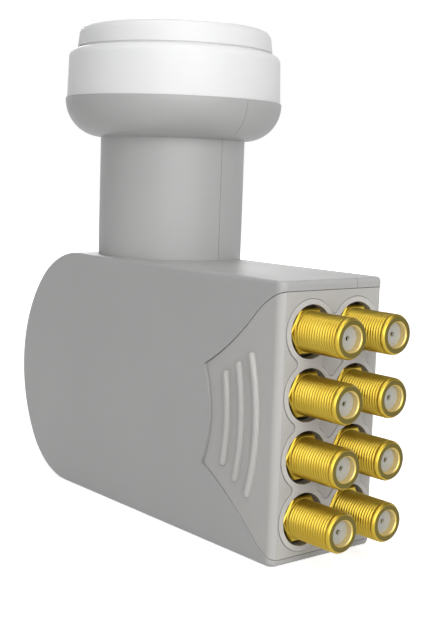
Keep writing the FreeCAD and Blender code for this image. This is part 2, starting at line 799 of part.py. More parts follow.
def tail_rounded(name, x, y, z, corner):
    """Plate or block across X with its two rear corners rounded."""
    body, sketch = sketched(name, "YZ_Plane", x[0])
    outline(sketch, [
        (y[0], z[0]),
        (f"({y[1]}) - ({corner})", z[0], corner),
        (y[1], f"({z[0]}) + ({corner})"),
        (y[1], f"({z[1]}) - ({corner})", corner),
        (f"({y[1]}) - ({corner})", z[1]),
        (y[0], z[1]),
    ])
    return padded(body, sketch, f"({x[1]}) - ({x[0]})")


POSTS = [
    ("post_front", "-row_gap_top"),
    ("post_front", "-row_gap_bottom"),
    ("post_rear", "-row_gap_middle"),
    ("post_rear", "-row_gap_bottom"),
]
CORNER_BACK = "chassis_rear - chassis_corner + (chassis_corner - chassis_wall / 2) * cos(45)"
CORNER_DROP = "(chassis_corner - (chassis_corner - chassis_wall / 2) * sin(45))"
LID_SCREWS = [
    ("lid_screw_front", "chassis_top - chassis_wall / 2"),
    ("lid_screw_front", "chassis_bottom + chassis_wall / 2"),
    ("lid_screw_middle", "chassis_top - chassis_wall / 2"),
    ("lid_screw_middle", "chassis_bottom + chassis_wall / 2"),
    (CORNER_BACK, f"chassis_top - {CORNER_DROP}"),
    (CORNER_BACK, f"chassis_bottom + {CORNER_DROP}"),
]


def chassis():
    """Casting with two screened pockets back to back, the waveguide and the feed horn."""
    flange = box("ChassisFront", ("lid_left", "lid_right"), ("chassis_front", "pocket_front"),
                 ("chassis_bottom", "chassis_top"))
    block = tail_rounded("ChassisBlock", ("rim_left", "rim_right"),
                         ("pocket_front - 0.5", "chassis_rear"),
                         ("chassis_bottom", "chassis_top"), "chassis_corner")
    pocket = {
        "y": ("pocket_front", "pocket_rear"),
        "z": ("pocket_bottom", "pocket_top"),
        "corner": "pocket_corner",
    }
    left_pocket = tail_rounded("PocketLeft", ("rim_left - 1", "web_left"), **pocket)
    right_pocket = tail_rounded("PocketRight", ("web_right", "rim_right + 1"), **pocket)
    frame = cut("ChassisFrame", block, left_pocket, right_pocket)
    tube = round_bar("Tube", "z", "tube_radius", ("-tube_drop", "horn_top"), ("0", "0"))
    rings = [
        round_bar("SeatRingLow", "z", "bore_radius - ring_gap",
                  ("ring_inset", "ring_inset + ring_height"), ("0", "0")),
        round_bar("SeatRingHigh", "z", "bore_radius - ring_gap",
                  ("neck_height - ring_inset - ring_height", "neck_height - ring_inset"), ("0", "0")),
    ]
    horn = turned("HornRings", [
        ("guide_radius", "horn_seat"),
        ("horn_radius", "horn_seat"),
        ("horn_radius", "horn_top"),
        ("horn_radius - horn_ring_wall", "horn_top"),
        ("horn_radius - horn_ring_wall", "horn_seat + horn_floor"),
        ("horn_ring_inner + horn_ring_wall", "horn_seat + horn_floor"),
        ("horn_ring_inner + horn_ring_wall", "horn_top"),
        ("horn_ring_inner", "horn_top"),
        ("horn_ring_inner", "horn_seat + horn_floor"),
        ("guide_radius", "horn_seat + horn_floor"),
    ])
    posts = []
    for index, place in enumerate(POSTS, 1):
        posts.append(round_bar(f"PostLeft{index}", "x", "post_radius",
                               ("board_left", "web_left + 0.5"), place))
        posts.append(round_bar(f"PostRight{index}", "x", "post_radius",
                               ("web_right - 0.5", "board_right"), place))
    holes = [round_bar("Guide", "z", "guide_radius", ("-guide_drop", "horn_top + 1"), ("0", "0"))]
    for index, place in enumerate(port_places(), 1):
        holes.append(round_bar(f"ShankHole{index}", "y", "shank_radius + screw_fit",
                               ("chassis_front - 1", "pocket_front + 1"), place))
    holes.append(round_bar("ProbeHoleAcross", "x", "probe_bead + probe_fit",
                           ("-(tube_radius + 1)", "-(guide_radius - 1)"),
                           ("0", "-probe_drop_across")))
    holes.append(round_bar("ProbeHoleAlong", "y", "probe_bead + probe_fit",
                           ("-(tube_radius + 1)", "-(guide_radius - 1)"),
                           ("board_right - probe_radius", "-probe_drop_along")))
    for side in ("Left", "Right"):
        holes += screw_holes(side)
    solid = fused("ChassisSolid", [flange, frame, tube, *rings, horn, *posts])
    node(cut("Chassis", solid, *holes), "chassis_casting")


def screw_spots(side):
    """Direction and places of one side's lid and board screws."""
    if side == "Left":
        return "lid_left", "board_left - board_thickness", 1
    return "lid_right", "board_right + board_thickness", -1


def span_from(start, sign, near_end, far_end):
    """Ordered pair of formulas, measured from a face inwards."""
    ends = [f"{start} + ({sign}) * ({near_end})", f"{start} + ({sign}) * ({far_end})"]
    return tuple(ends if sign > 0 else reversed(ends))


def screw_holes(side):
    """Threaded holes in the casting for one side's screws."""
    lid_face, board_face, sign = screw_spots(side)
    made = []
    for index, place in enumerate(LID_SCREWS, 1):
        made.append(round_bar(f"LidHole{side}{index}", "x", "lid_screw_radius + screw_fit",
                              span_from(lid_face, sign, "0", "lid_screw_length + 0.5"), place))
    for index, place in enumerate(POSTS, 1):
        made.append(round_bar(f"PostHole{side}{index}", "x", "lid_screw_radius + screw_fit",
                              span_from(board_face, sign, "-1", "board_screw_length + 0.5"), place))
    return made


def side_parts(side):
    """Board, chip, lid, gasket and screws of one side of the chassis."""
    lid_face, board_face, sign = screw_spots(side)
    label = side.lower()
    inset = {
        "y": ("pocket_front + board_gap", "pocket_rear - board_gap"),
        "z": ("pocket_bottom + board_gap", "pocket_top - board_gap"),
        "corner": "pocket_corner",
    }
    cover = {
        "y": ("pocket_front + board_gap", "chassis_rear"),
        "z": ("chassis_bottom", "chassis_top"),
        "corner": "chassis_corner",
    }
    window = {
        "y": ("pocket_front - 1", "pocket_rear"),
        "z": ("pocket_bottom", "pocket_top"),
        "corner": "pocket_corner",
    }
    board = tail_rounded(f"Board{side}", span_from(board_face, sign, "0", "board_thickness"), **inset)
    lid = tail_rounded(f"Lid{side}", span_from(lid_face, sign, "0", "lid_thickness"), **cover)
    gasket = tail_rounded(f"Gasket{side}", span_from(
        lid_face, sign, "lid_thickness", "lid_thickness + gasket_thickness"), **cover)
    opening = tail_rounded(f"GasketWindow{side}", span_from(
        lid_face, sign, "lid_thickness - 1", "lid_thickness + gasket_thickness + 1"), **window)
    board_cuts = []
    lid_cuts = []
    gasket_cuts = [opening]
    if side == "Right":
        notch = box("TubeNotch", ("web_right", "body_right"),
                    ("-notch_half_width", "notch_half_width"), ("-notch_drop", "1"))
        board_cuts.append(notch)
        lid_cuts.append(notch)
        gasket_cuts.append(notch)
    lid_screws = []
    for index, place in enumerate(LID_SCREWS, 1):
        hole = round_bar(f"LidClear{side}{index}", "x", "lid_screw_radius + screw_fit",
                         span_from(lid_face, sign, "-1", "lid_thickness + gasket_thickness + 1"), place)
        sink = round_bar(f"LidSink{side}{index}", "x", "lid_head_radius + screw_fit",
                         span_from(lid_face, sign, "-1", "lid_thickness / 2"), place)
        lid_cuts += [hole, sink]
        gasket_cuts.append(hole)
        head = round_bar(f"LidHead{side}{index}", "x", "lid_head_radius",
                         span_from(lid_face, sign, "0", "lid_thickness / 2"), place)
        shank = round_bar(f"LidShank{side}{index}", "x", "lid_screw_radius",
                          span_from(lid_face, sign, "lid_thickness / 2", "lid_screw_length"), place)
        lid_screws.append(fused(f"LidScrew{side}{index}", [head, shank]))
    board_screws = []
    for index, place in enumerate(POSTS, 1):
        board_cuts.append(round_bar(
            f"BoardClear{side}{index}", "x", "lid_screw_radius + screw_fit",
            span_from(board_face, sign, "-1", "board_thickness + 1"), place))
        head = round_bar(f"BoardHead{side}{index}", "x", "lid_head_radius",
                         span_from(board_face, sign, "-board_head_height", "0"), place)
        shank = round_bar(f"BoardShank{side}{index}", "x", "lid_screw_radius",
                          span_from(board_face, sign, "0", "board_screw_length"), place)
        board_screws.append(fused(f"BoardScrew{side}{index}", [head, shank]))
    chip = box(f"Chip{side}", span_from(board_face, sign, "-chip_thickness", "0"),
               ("chip_front", "chip_front + chip_size"), ("chip_top - chip_size", "chip_top"))
    node(cut(f"CircuitBoard{side}", board, *board_cuts), f"circuit_board_{label}")
    node(cut(f"ShieldLid{side}", lid, *lid_cuts), f"shield_lid_{label}")
    node(cut(f"LidGasket{side}", gasket, *gasket_cuts), f"lid_gasket_{label}")
    node(chip, f"switch_chip_{label}")
    node(group(f"LidScrews{side}", lid_screws), f"lid_screws_{label}")
    node(group(f"BoardScrews{side}", board_screws), f"board_screws_{label}")


def probes():
    """Two crossed waveguide probes with their insulating beads."""
    across = ("0", "-probe_drop_across")
    along = ("board_right - probe_radius", "-probe_drop_along")
    pins = {
        "across": ("x", ("board_left", "-probe_reach"), across),
        "along": ("y", ("-(notch_half_width + probe_overlap)", "-probe_reach"), along),
    }
    for title, (axis, span, place) in pins.items():
        node(round_bar(f"Probe{title.capitalize()}", axis, "probe_radius", span, place),
             f"probe_{title}")
        reach = ("-(tube_radius - 0.5)", "-guide_radius")
        bead = round_bar(f"Bead{title.capitalize()}", axis, "probe_bead", reach, place)
        hole = round_bar(f"BeadHole{title.capitalize()}", axis, "probe_radius + probe_fit",
                         ("-(tube_radius + 1)", "0"), place)
        node(cut(f"ProbeBead{title.capitalize()}", bead, hole), f"probe_bead_{title}")


# Feed cap

def feed_cap():
    """Pressed-on feed cap: tapered band, rounded shoulder, fine groove, domed disc, spigot."""
    band_top = "cap_radius - cap_draft"
    disc_side = "cap_disc_radius - cap_draft"
    groove_top = "cap_band_top + cap_groove_width"
    dome_edge = f"({disc_side} - cap_edge_round)"
    dome_radius = f"({dome_edge}^2 + cap_dome_rise^2) / (2 * cap_dome_rise)"
    groove_floor = "cap_disc_radius - cap_groove_depth"
    groove_low = "seal_height - seal_groove_width / 2"
    groove_high = "seal_height + seal_groove_width / 2"
    groove_back = "seal_ring - seal_radius - seal_play"
    cap = turned("FeedCap", [
        ("0", "disc_top - cap_wall"),
        ("spigot_inner - cap_edge_round", "disc_top - cap_wall"),
        ("spigot_inner", "disc_top - cap_wall - cap_edge_round"),
        ("spigot_inner", "seam_height - spigot_depth"),
        ("spigot_radius", "seam_height - spigot_depth"),
        ("spigot_radius", groove_low),
        (groove_back, groove_low),
        (groove_back, groove_high),
        ("spigot_radius", groove_high),
        ("spigot_radius", "seam_height"),
        ("cap_radius", "seam_height"),
        (band_top, "cap_band_top - cap_shoulder_round", "cap_shoulder_round"),
        (f"{band_top} - cap_shoulder_round", "cap_band_top"),
        (groove_floor, "cap_band_top"),
        (groove_floor, groove_top),
        ("cap_disc_radius", groove_top),
        (disc_side, "disc_top - cap_edge_round", "cap_edge_round"),
        (dome_edge, "disc_top", dome_radius),
        ("0", "cap_top"),
    ])
    node(cap, "feed_cap")
    ring = doc.addObject("Part::Torus", "CapSeal")
    bind(ring, z="seal_height", Radius1="seal_ring", Radius2="seal_radius")
    node(ring, "cap_seal")


def write_parts():
    """Checks every object and every sub-part, then writes one file for each sub-part."""
    doc.recompute()
    for thing in doc.Objects:
        if "Invalid" in thing.State or "Error" in thing.State:
            raise RuntimeError(f"{thing.Name} failed: {thing.State}")
    for thing in NODES:
        if thing.Shape.isNull() or not thing.Shape.isValid():
            raise RuntimeError(f"{thing.Label} has no valid shape")
    os.makedirs("parts", exist_ok=True)
    for thing in NODES:
        thing.Shape.exportStep(os.path.join("parts", thing.Label + ".step"))
        print(f"{thing.Label}: {len(thing.Shape.Solids)} solids, {thing.Shape.Volume:.1f} mm3")


feed_cap()
shell_halves()
weather_cover()
outputs()
chassis()
side_parts("Left")
side_parts("Right")
probes()
write_parts()
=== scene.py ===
"""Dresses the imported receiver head: housing, feed cap, weather cover, coaxial outputs and studio."""

import logging
import math
from abc import ABC, abstractmethod
from collections.abc import Iterable, Sequence
from dataclasses import dataclass, field
from enum import Enum

import bmesh
import bpy
from mathutils import Matrix, Vector

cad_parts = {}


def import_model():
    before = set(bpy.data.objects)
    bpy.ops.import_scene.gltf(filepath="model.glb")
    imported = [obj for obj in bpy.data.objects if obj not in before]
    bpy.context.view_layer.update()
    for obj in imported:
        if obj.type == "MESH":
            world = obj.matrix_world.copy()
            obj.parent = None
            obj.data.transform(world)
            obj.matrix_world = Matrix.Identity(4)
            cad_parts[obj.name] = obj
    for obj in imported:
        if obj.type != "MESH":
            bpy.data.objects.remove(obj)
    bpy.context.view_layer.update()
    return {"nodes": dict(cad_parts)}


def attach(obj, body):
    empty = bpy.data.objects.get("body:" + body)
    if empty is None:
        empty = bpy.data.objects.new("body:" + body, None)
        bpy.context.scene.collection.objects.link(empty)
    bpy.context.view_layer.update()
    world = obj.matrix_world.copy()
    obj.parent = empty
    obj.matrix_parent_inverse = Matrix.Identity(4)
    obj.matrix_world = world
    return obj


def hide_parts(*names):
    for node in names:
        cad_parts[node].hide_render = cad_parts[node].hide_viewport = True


LOG = logging.getLogger("receiver_head")
MM = 0.001
# Marks the thread's grooves, where the plating gets painted shade.
ROOT_SHADE_ATTRIBUTE = "thread_root_shade"
# Marks the bore's wall, which the plating paints lighter.
BORE_LIGHT_ATTRIBUTE = "bore_wall_light"
RECEIVER = "receiver"
COVER = "cover"
WHITE = (1.0, 1.0, 1.0, 1.0)

# Textures: shares of one, scales per metre, and between which values a ramp rises
PIT_SCALE = 0.55
PIT_SHARE = 0.6
MOTTLE_RISE = (0.3, 0.7)
SCUFF_TURN = (0.3, 0.5, 0.2)
SCUFF_STRETCH = (1.0, 9.0, 1.4)
SCUFF_RISE = (0.62, 0.78)
UPWARD_RISE = (0.5, 1.0)
DUST_SCALE = 700.0
STREAK_RISE = (0.35, 0.65)

# Meshes: the thread's flank, distances in metres within which points are one, angles in degrees,
# and what keeps a whole quotient from being rounded down
FLANK_SLOPE = 1.5
CREST_SHIFT = -0.25
JOIN_DISTANCE = 0.000002
SAME_PLACE = 1e-7
FLAT_ANGLE = 0.6
EDGE_ANGLE = 30.0
INDEX_NUDGE = 0.001

Number = float | int
Colour = tuple[float, float, float]
Socket = bpy.types.NodeSocket
Given = dict[str | int, object]


class Axis(Enum):
    """Which way a turned piece points, as a rotation of its own +Z."""

    UP = (0.0, 0.0, 0.0)
    FORWARD = (math.pi / 2, 0.0, 0.0)


class Shading(Enum):
    """Edge angles, in degrees, past which a piece shows a hard edge."""

    SOFT = 60.0
    TURNED = 35.0
    CRISP = 25.0


# Node trees


class NodeMaker:
    """Adds nodes to one tree and joins them. A value is a constant, or the output that is joined."""

    def __init__(self, tree: bpy.types.NodeTree) -> None:
        """Takes a tree and empties it."""
        tree.nodes.clear()
        self.tree = tree

    def add(self, kind: str, given: Given | None = None, **settings: object) -> bpy.types.Node:
        """Adds a node.

        Args:
            kind: The node's type name.
            given: What its inputs take, by their names or places.
            **settings: Properties to set on it.

        Returns:
            The new node.
        """
        node = self.tree.nodes.new(kind)
        for name, value in settings.items():
            setattr(node, name, value)
        self.fill(node, given or {})
        return node

    def fill(self, node: bpy.types.Node, given: Given) -> None:
        """Gives inputs of a node their values.

        Args:
            node: The node.
            given: A number, tuple, name, material or output by the input's name or place.
        """
        for title, value in given.items():
            if isinstance(value, bpy.types.NodeSocket):
                self.tree.links.new(value, node.inputs[title])
            else:
                node.inputs[title].default_value = value

    def math(self, operation: str, *values: object, clamp: bool = False) -> Socket:
        """Calculates with up to three values, and may keep the result between 0 and 1."""
        settings = {"operation": operation, "use_clamp": clamp}
        return self.add("ShaderNodeMath", dict(enumerate(values)), **settings).outputs[0]

    def times(self, first: object, second: object) -> Socket:
        """Multiplies two values."""
        return self.math("MULTIPLY", first, second)

    def ramp(self, value: Socket, low: object, high: object, start: Number = 0.0,
             end: Number = 1.0) -> Socket:
        """Maps a value smoothly: to start where it is low or less, to end where it is high or more."""
        given = dict(enumerate((value, low, high, start, end)))
        return self.add("ShaderNodeMapRange", given, interpolation_type="SMOOTHSTEP").outputs[0]

    def window(self, value: Socket, low: Number, high: Number, soft: Number) -> Socket:
        """Marks with 1 where a value lies between two limits, fading over soft outside them."""
        return self.times(self.ramp(value, low - soft, low),
                          self.ramp(value, high, high + soft, 1.0, 0.0))

    def split(self, vector: Socket) -> bpy.types.NodeOutputs:
        """Gives a vector's X, Y and Z."""
        return self.add("ShaderNodeSeparateXYZ", {0: vector}).outputs

    def join(self, *parts: object) -> Socket:
        """Gives the vector of an X, Y and Z."""
        return self.add("ShaderNodeCombineXYZ", dict(enumerate(parts))).outputs[0]

    def blend(self, share: Socket, first: object, second: object) -> Socket:
        """Mixes two colours; share is how much there is of the second."""
        return self.add("ShaderNodeMix", {0: share, 6: first, 7: second}, data_type="RGBA").outputs[2]

    def choose(self, share: Socket, first: object, second: object) -> Socket:
        """Mixes two numbers; share is how much there is of the second."""
        return self.add("ShaderNodeMix", {0: share, 2: first, 3: second}, data_type="FLOAT").outputs[0]

    def noise(self, vector: Socket, scale: object, detail: Number = 2.0) -> Socket:
        """Gives the value of a three-dimensional noise at a vector."""
        given = {"Vector": vector, "Scale": scale, "Detail": detail}
        return self.add("ShaderNodeTexNoise", given, noise_dimensions="3D").outputs[0]


def maker_for(owner: bpy.types.Material | bpy.types.World) -> NodeMaker:
    """Turns an owner's nodes on and gives the maker of its emptied tree."""
    owner.use_nodes = True
    return NodeMaker(owner.node_tree)


def new_group(name: str, kind: str, inputs: dict[str, tuple[str, object]],
              outputs: dict[str, str]) -> tuple[NodeMaker, bpy.types.NodeOutputs, bpy.types.Node]:
    """Makes a node group with named sockets.

    Args:
        name: The group's name.
        kind: The tree's type.
        inputs: Socket type and default of each input by name.
        outputs: Socket type of each output by name.

    Returns:
        The maker of its tree, what its inputs give and its output node.
    """
    tree = bpy.data.node_groups.new(name, kind)
    for title, (socket_type, default) in inputs.items():
        socket = tree.interface.new_socket(title, in_out="INPUT", socket_type=socket_type)
        if default is not None:
            socket.default_value = default
    for title, socket_type in outputs.items():
        tree.interface.new_socket(title, in_out="OUTPUT", socket_type=socket_type)
    maker = NodeMaker(tree)
    return maker, maker.add("NodeGroupInput").outputs, maker.add("NodeGroupOutput")


def moulded_grain_group() -> bpy.types.NodeTree:
    """Builds the spark-eroded grain of moulded plastic: fine height and a slow mottle.

    Returns:
        A group with a Height and a Mottle output.
    """
    maker, given, out = new_group(
        "MouldedGrain", "ShaderNodeTree",
        {"Grain Scale": ("NodeSocketFloat", 2600.0), "Mottle Scale": ("NodeSocketFloat", 28.0)},
        {"Height": "NodeSocketFloat", "Mottle": "NodeSocketFloat"})
    place = maker.add("ShaderNodeTexCoord").outputs["Object"]
    coarse_scale = maker.times(given["Grain Scale"], PIT_SCALE)
    coarse = maker.add("ShaderNodeTexVoronoi", {"Vector": place, "Scale": coarse_scale, "Smoothness": 0.8},
                       feature="SMOOTH_F1")
    pits = maker.times(coarse.outputs["Distance"], PIT_SHARE)
    maker.fill(out, {
        "Height": maker.math("ADD", maker.noise(place, given["Grain Scale"], detail=3.0), pits),
        "Mottle": maker.ramp(maker.noise(place, given["Mottle Scale"], detail=4.0), *MOTTLE_RISE)})
    return maker.tree


def handling_group() -> bpy.types.NodeTree:
    """Builds the marks that handling leaves: scattered fine scuffs and settled dust.

    Returns:
        A group with a Scuff and a Dust output.
    """
    maker, given, out = new_group(
        "HandlingMarks", "ShaderNodeTree",
        {"Scuff Scale": ("NodeSocketFloat", 90.0), "Dust Reach": ("NodeSocketFloat", 0.4)},
        {"Scuff": "NodeSocketFloat", "Dust": "NodeSocketFloat"})
    place = maker.add("ShaderNodeTexCoord").outputs["Object"]
    stretched = maker.add("ShaderNodeMapping", {
        "Vector": place, "Rotation": SCUFF_TURN, "Scale": SCUFF_STRETCH}).outputs[0]
    facing = maker.split(maker.add("ShaderNodeNewGeometry").outputs["Normal"])
    settled = maker.times(maker.ramp(facing[2], *UPWARD_RISE), maker.noise(place, DUST_SCALE))
    maker.fill(out, {
        "Scuff": maker.ramp(maker.noise(stretched, given["Scuff Scale"], detail=6.0), *SCUFF_RISE),
        "Dust": maker.times(settled, given["Dust Reach"])})
    return maker.tree


def tool_marks_group() -> bpy.types.NodeTree:
    """Builds the fine rings and streaks that turning, casting or rolling leaves in metal.

    Returns:
        A group with a Height and a Streak output.
    """
    maker, given, out = new_group(
        "ToolMarks", "ShaderNodeTree",
        {"Stretch": ("NodeSocketVector", (1.0, 1.0, 1.0)), "Mark Scale": ("NodeSocketFloat", 900.0)},
        {"Height": "NodeSocketFloat", "Streak": "NodeSocketFloat"})
    stretched = maker.add("ShaderNodeVectorMath", {
        0: maker.add("ShaderNodeTexCoord").outputs["Object"], 1: given["Stretch"]},
        operation="MULTIPLY").outputs[0]
    marks = maker.noise(stretched, given["Mark Scale"], detail=5.0)
    maker.fill(out, {"Height": marks, "Streak": maker.ramp(marks, *STREAK_RISE)})
    return maker.tree


class SharedEffects:
    """The shader groups that several finishes use, each built once."""

    def __init__(self) -> None:
        """Builds the three groups."""
        self.grain = moulded_grain_group()
        self.handling = handling_group()
        self.tool_marks = tool_marks_group()


# Finishes


def paint(colour: Colour) -> tuple[float, float, float, float]:
    """Turns display values from 0 to 1 into a shader's linear colour with full alpha."""
    linear = [c / 12.92 if c <= 0.04045 else ((c + 0.055) / 1.055) ** 2.4 for c in colour]
    return (*linear, 1.0)


class ShaderMaker(NodeMaker):
    """Adds nodes to a material that holds one Principled BSDF."""

    def __init__(self, material: bpy.types.Material, effects: SharedEffects) -> None:
        """Empties the material's tree and adds the shader.

        Args:
            material: The material to fill.
            effects: The shared shader groups.
        """
        material.use_nodes = True
        super().__init__(material.node_tree)
        self.effects = effects
        self.shader = self.add("ShaderNodeBsdfPrincipled")
        self.add("ShaderNodeOutputMaterial", {"Surface": self.shader.outputs[0]})

    def use(self, group: bpy.types.NodeTree, given: Given | None = None) -> bpy.types.NodeOutputs:
        """Adds a shared group with the values of its inputs and gives its outputs."""
        return self.add("ShaderNodeGroup", given, node_tree=group).outputs

    def emboss(self, height: Socket, strength: Number, distance: Number) -> None:
        """Raises the shader's surface by a height, whose greatest measure is in metres."""
        bump = self.add("ShaderNodeBump", {"Strength": strength, "Distance": distance, "Height": height})
        self.fill(self.shader, {"Normal": bump.outputs[0]})


@dataclass(frozen=True)
class Finish(ABC):
    """How a material slot looks: a colour that turns slowly into a second one."""

    colour: Colour
    shade: Colour

    @abstractmethod
    def dress(self, maker: ShaderMaker) -> None:
        """Gives the maker's shader its values."""

    def tint(self, maker: ShaderMaker, share: Socket) -> Socket:
        """Mixes both colours; share is how much there is of the second."""
        return maker.blend(share, paint(self.colour), paint(self.shade))

    def build(self, name: str, effects: SharedEffects) -> bpy.types.Material:
        """Builds the material.

        Args:
            name: The material's name.
            effects: The shared shader groups.

        Returns:
            The material.
        """
        material = bpy.data.materials.new(name)
        self.dress(ShaderMaker(material, effects))
        return material


@dataclass(frozen=True)
class MouldedPlastic(Finish):
    """Satin injection-moulded plastic with a fine eroded grain."""

    roughness: float = 0.37
    unevenness: float = 0.06
    rubbed: float = -0.07
    grain_height: float = 0.00002
    grain_scale: float = 2600.0
    relief: float = 0.35
    specular: float = 0.45
    translucency: float = 0.0
    bleed: tuple[float, float, float] = (0.0012, 0.0011, 0.001)
    mottle_share: float = 0.35
    dust: Colour = (0.80, 0.79, 0.76)
    dust_share: float = 0.22

    def dress(self, maker: ShaderMaker) -> None:
        """Gives the shader its grain, scuffs and dust.

        Args:
            maker: The material's maker.
        """
        grain = maker.use(maker.effects.grain, {"Grain Scale": self.grain_scale})
        marks = maker.use(maker.effects.handling)
        body = self.tint(maker, maker.times(grain["Mottle"], self.mottle_share))
        dusty = maker.times(marks["Dust"], self.dust_share)
        wander = maker.math("MULTIPLY_ADD", grain["Mottle"], self.unevenness, self.roughness)
        rub = maker.times(marks["Scuff"], self.rubbed)
        maker.fill(maker.shader, {
            "Base Color": maker.blend(dusty, body, paint(self.dust)),
            "Roughness": maker.math("ADD", wander, rub, clamp=True),
            "Specular IOR Level": self.specular})
        if self.translucency:
            maker.fill(maker.shader, {
                "Subsurface Weight": self.translucency, "Subsurface Radius": self.bleed})
        maker.emboss(grain["Height"], self.relief, self.grain_height)


@dataclass(frozen=True)
class RimmedPlastic(MouldedPlastic):
    """Moulded plastic whose raised rims are lighter, with painted shade in the groove round them."""

    rim: Colour = (0.775, 0.770, 0.762)
    line_shade: Colour = (0.610, 0.605, 0.615)
    plate: float = 0.0717
    rim_foot: float = 0.00008
    rim_top: float = 0.00022
    line_mouth: float = 0.00006
    line_floor: float = 0.00018
    line_fade: float = 0.00003
    across: tuple[float, float] = (-0.0210, 0.0085)
    upright: tuple[float, float] = (-0.0645, -0.0015)
    across_fade: float = 0.00002
    upright_fade: float = 0.0001

    def tint(self, maker: ShaderMaker, share: Socket) -> Socket:
        """Mixes the body colour with the lighter rims and the painted shade in the groove round them.

        Args:
            maker: The material's maker.
            share: How much there is of the second body colour.

        Returns:
            The colour's socket.
        """
        place = maker.split(maker.add("ShaderNodeTexCoord").outputs["Object"])
        ahead = maker.times(place[1], -1.0)
        raised = maker.ramp(ahead, self.plate + self.rim_foot, self.plate + self.rim_top)
        rimmed = maker.blend(raised, super().tint(maker, share), paint(self.rim))
        # Painted shade: the groove just behind the plate's face, within the ports' field, is darkened.
        sunk = maker.window(ahead, self.plate - self.line_floor, self.plate - self.line_mouth,
                            self.line_fade)
        flat = maker.times(maker.window(place[0], *self.across, self.across_fade),
                           maker.window(place[2], *self.upright, self.upright_fade))
        return maker.blend(maker.times(sunk, flat), rimmed, paint(self.line_shade))


@dataclass(frozen=True)
class WorkedMetal(Finish):
    """Bare or plated metal with tool marks and a tarnish in its quiet places."""

    roughness: float = 0.25
    streaked: float = 0.10
    mark_height: float = 0.00001
    mark_scale: float = 900.0
    mottle_scale: float = 180.0
    stretch: tuple[float, float, float] = (1.0, 1.0, 1.0)
    tarnish_share: float = 0.5
    relief: float = 0.4

    def dress(self, maker: ShaderMaker) -> None:
        """Gives the shader its tool marks and tarnish.

        Args:
            maker: The material's maker.
        """
        marks = maker.use(maker.effects.tool_marks, {
            "Stretch": self.stretch, "Mark Scale": self.mark_scale})
        grain = maker.use(maker.effects.grain, {"Mottle Scale": self.mottle_scale})
        maker.fill(maker.shader, {
            "Base Color": self.tint(maker, maker.times(grain["Mottle"], self.tarnish_share)),
            "Roughness": maker.math("MULTIPLY_ADD", marks["Streak"], self.streaked, self.roughness),
            "Metallic": 1.0})
        maker.emboss(marks["Height"], self.relief, self.mark_height)


@dataclass(frozen=True)
class PlatedMetal(Finish):
    """Thin bright plating over turned brass; ends that were cut square stay duller and darker, partly as
    painted shade. The thread roots carry painted shade and the bore wall a painted lighter colour.
    """

    # The cut ends' own duller tone, darkened further as painted shade standing for the darker reflection they
    # show.
    cut_face_and_shade: Colour
    # Colour of the painted shade in the thread roots.
    root_shade: Colour
    # Painted light: a lighter colour for the bore wall, which lies in shade inside the barrel.
    bore: Colour
    tip: float
    cut_behind: tuple[float, float] = (0.0008, 0.0004)
    cut_facing: tuple[float, float] = (0.9, 0.98)
    roughness: float = 0.36
    streaked: float = 0.05
    bore_dullness: float = 0.20
    cut_dullness: float = 0.12
    ring_height: float = 0.000003
    ring_scale: float = 500.0
    rings: tuple[float, float, float] = (1.0, 12.0, 1.0)
    mottle_scale: float = 160.0
    wear_share: float = 0.45
    root_shade_share: float = 0.55
    relief: float = 0.3

    def dress(self, maker: ShaderMaker) -> None:
        """Gives the shader its rings, worn places, painted shade in the thread roots, a painted lighter bore
        wall, and cut ends that are duller and darker, partly painted shade.

        Args:
            maker: The material's maker.
        """
        marks = maker.use(maker.effects.tool_marks, {"Stretch": self.rings, "Mark Scale": self.ring_scale})
        grain = maker.use(maker.effects.grain, {"Mottle Scale": self.mottle_scale})
        spot = maker.add("ShaderNodeTexCoord").outputs
        facing, ahead = (maker.times(maker.split(spot[title])[1], -1.0)
                         for title in ("Normal", "Object"))
        nose = maker.ramp(ahead, *(self.tip - behind for behind in self.cut_behind))
        cut = maker.times(maker.ramp(facing, *self.cut_facing), nose)
        root_shade, inner = (
            maker.add("ShaderNodeAttribute", attribute_type="GEOMETRY", attribute_name=mark).outputs["Fac"]
            for mark in (ROOT_SHADE_ATTRIBUTE, BORE_LIGHT_ATTRIBUTE))
        plated = self.tint(maker, maker.times(grain["Mottle"], self.wear_share))
        # Painted shade: the plating darkens towards the thread's roots.
        root_shaded = maker.blend(maker.times(root_shade, self.root_shade_share), plated, paint(self.root_shade))
        # Painted light: the bore wall is painted a lighter colour.
        turned = maker.blend(inner, root_shaded, paint(self.bore))
        streaked = maker.math("MULTIPLY_ADD", marks["Streak"], self.streaked, self.roughness)
        sheen = maker.math("MULTIPLY_ADD", inner, self.bore_dullness, streaked)
        # Base colour: the forward-facing faces near the tip take the cut-face colour, their own duller tone
        # with painted shade.
        maker.fill(maker.shader, {
            "Base Color": maker.blend(cut, turned, paint(self.cut_face_and_shade)),
            "Roughness": maker.math("MULTIPLY_ADD", cut, self.cut_dullness, sheen),
            "Metallic": 1.0})
        maker.emboss(marks["Height"], self.relief, self.ring_height)


@dataclass(frozen=True)
class DullCoat(Finish):
    """Rubber, moulded resin or solder mask: a dark coat with a faint uneven sheen."""

    roughness: float = 0.6
    unevenness: float = 0.12
    grain_height: float = 0.00003
    grain_scale: float = 1400.0
    mottle_scale: float = 120.0
    mottle_share: float = 0.3
    scuff_share: float = 0.4
    relief: float = 0.3

    def dress(self, maker: ShaderMaker) -> None:
        """Gives the shader its grain and scuffs.

        Args:
            maker: The material's maker.
        """
        grain = maker.use(maker.effects.grain, {
            "Grain Scale": self.grain_scale, "Mottle Scale": self.mottle_scale})
        marks = maker.use(maker.effects.handling)
        share = maker.math("MULTIPLY_ADD", marks["Scuff"], self.scuff_share,
                           maker.times(grain["Mottle"], self.mottle_share))
        maker.fill(maker.shader, {
            "Base Color": self.tint(maker, share),
            "Roughness": maker.math("MULTIPLY_ADD", grain["Mottle"], self.unevenness, self.roughness)})
        maker.emboss(grain["Height"], self.relief, self.grain_height)


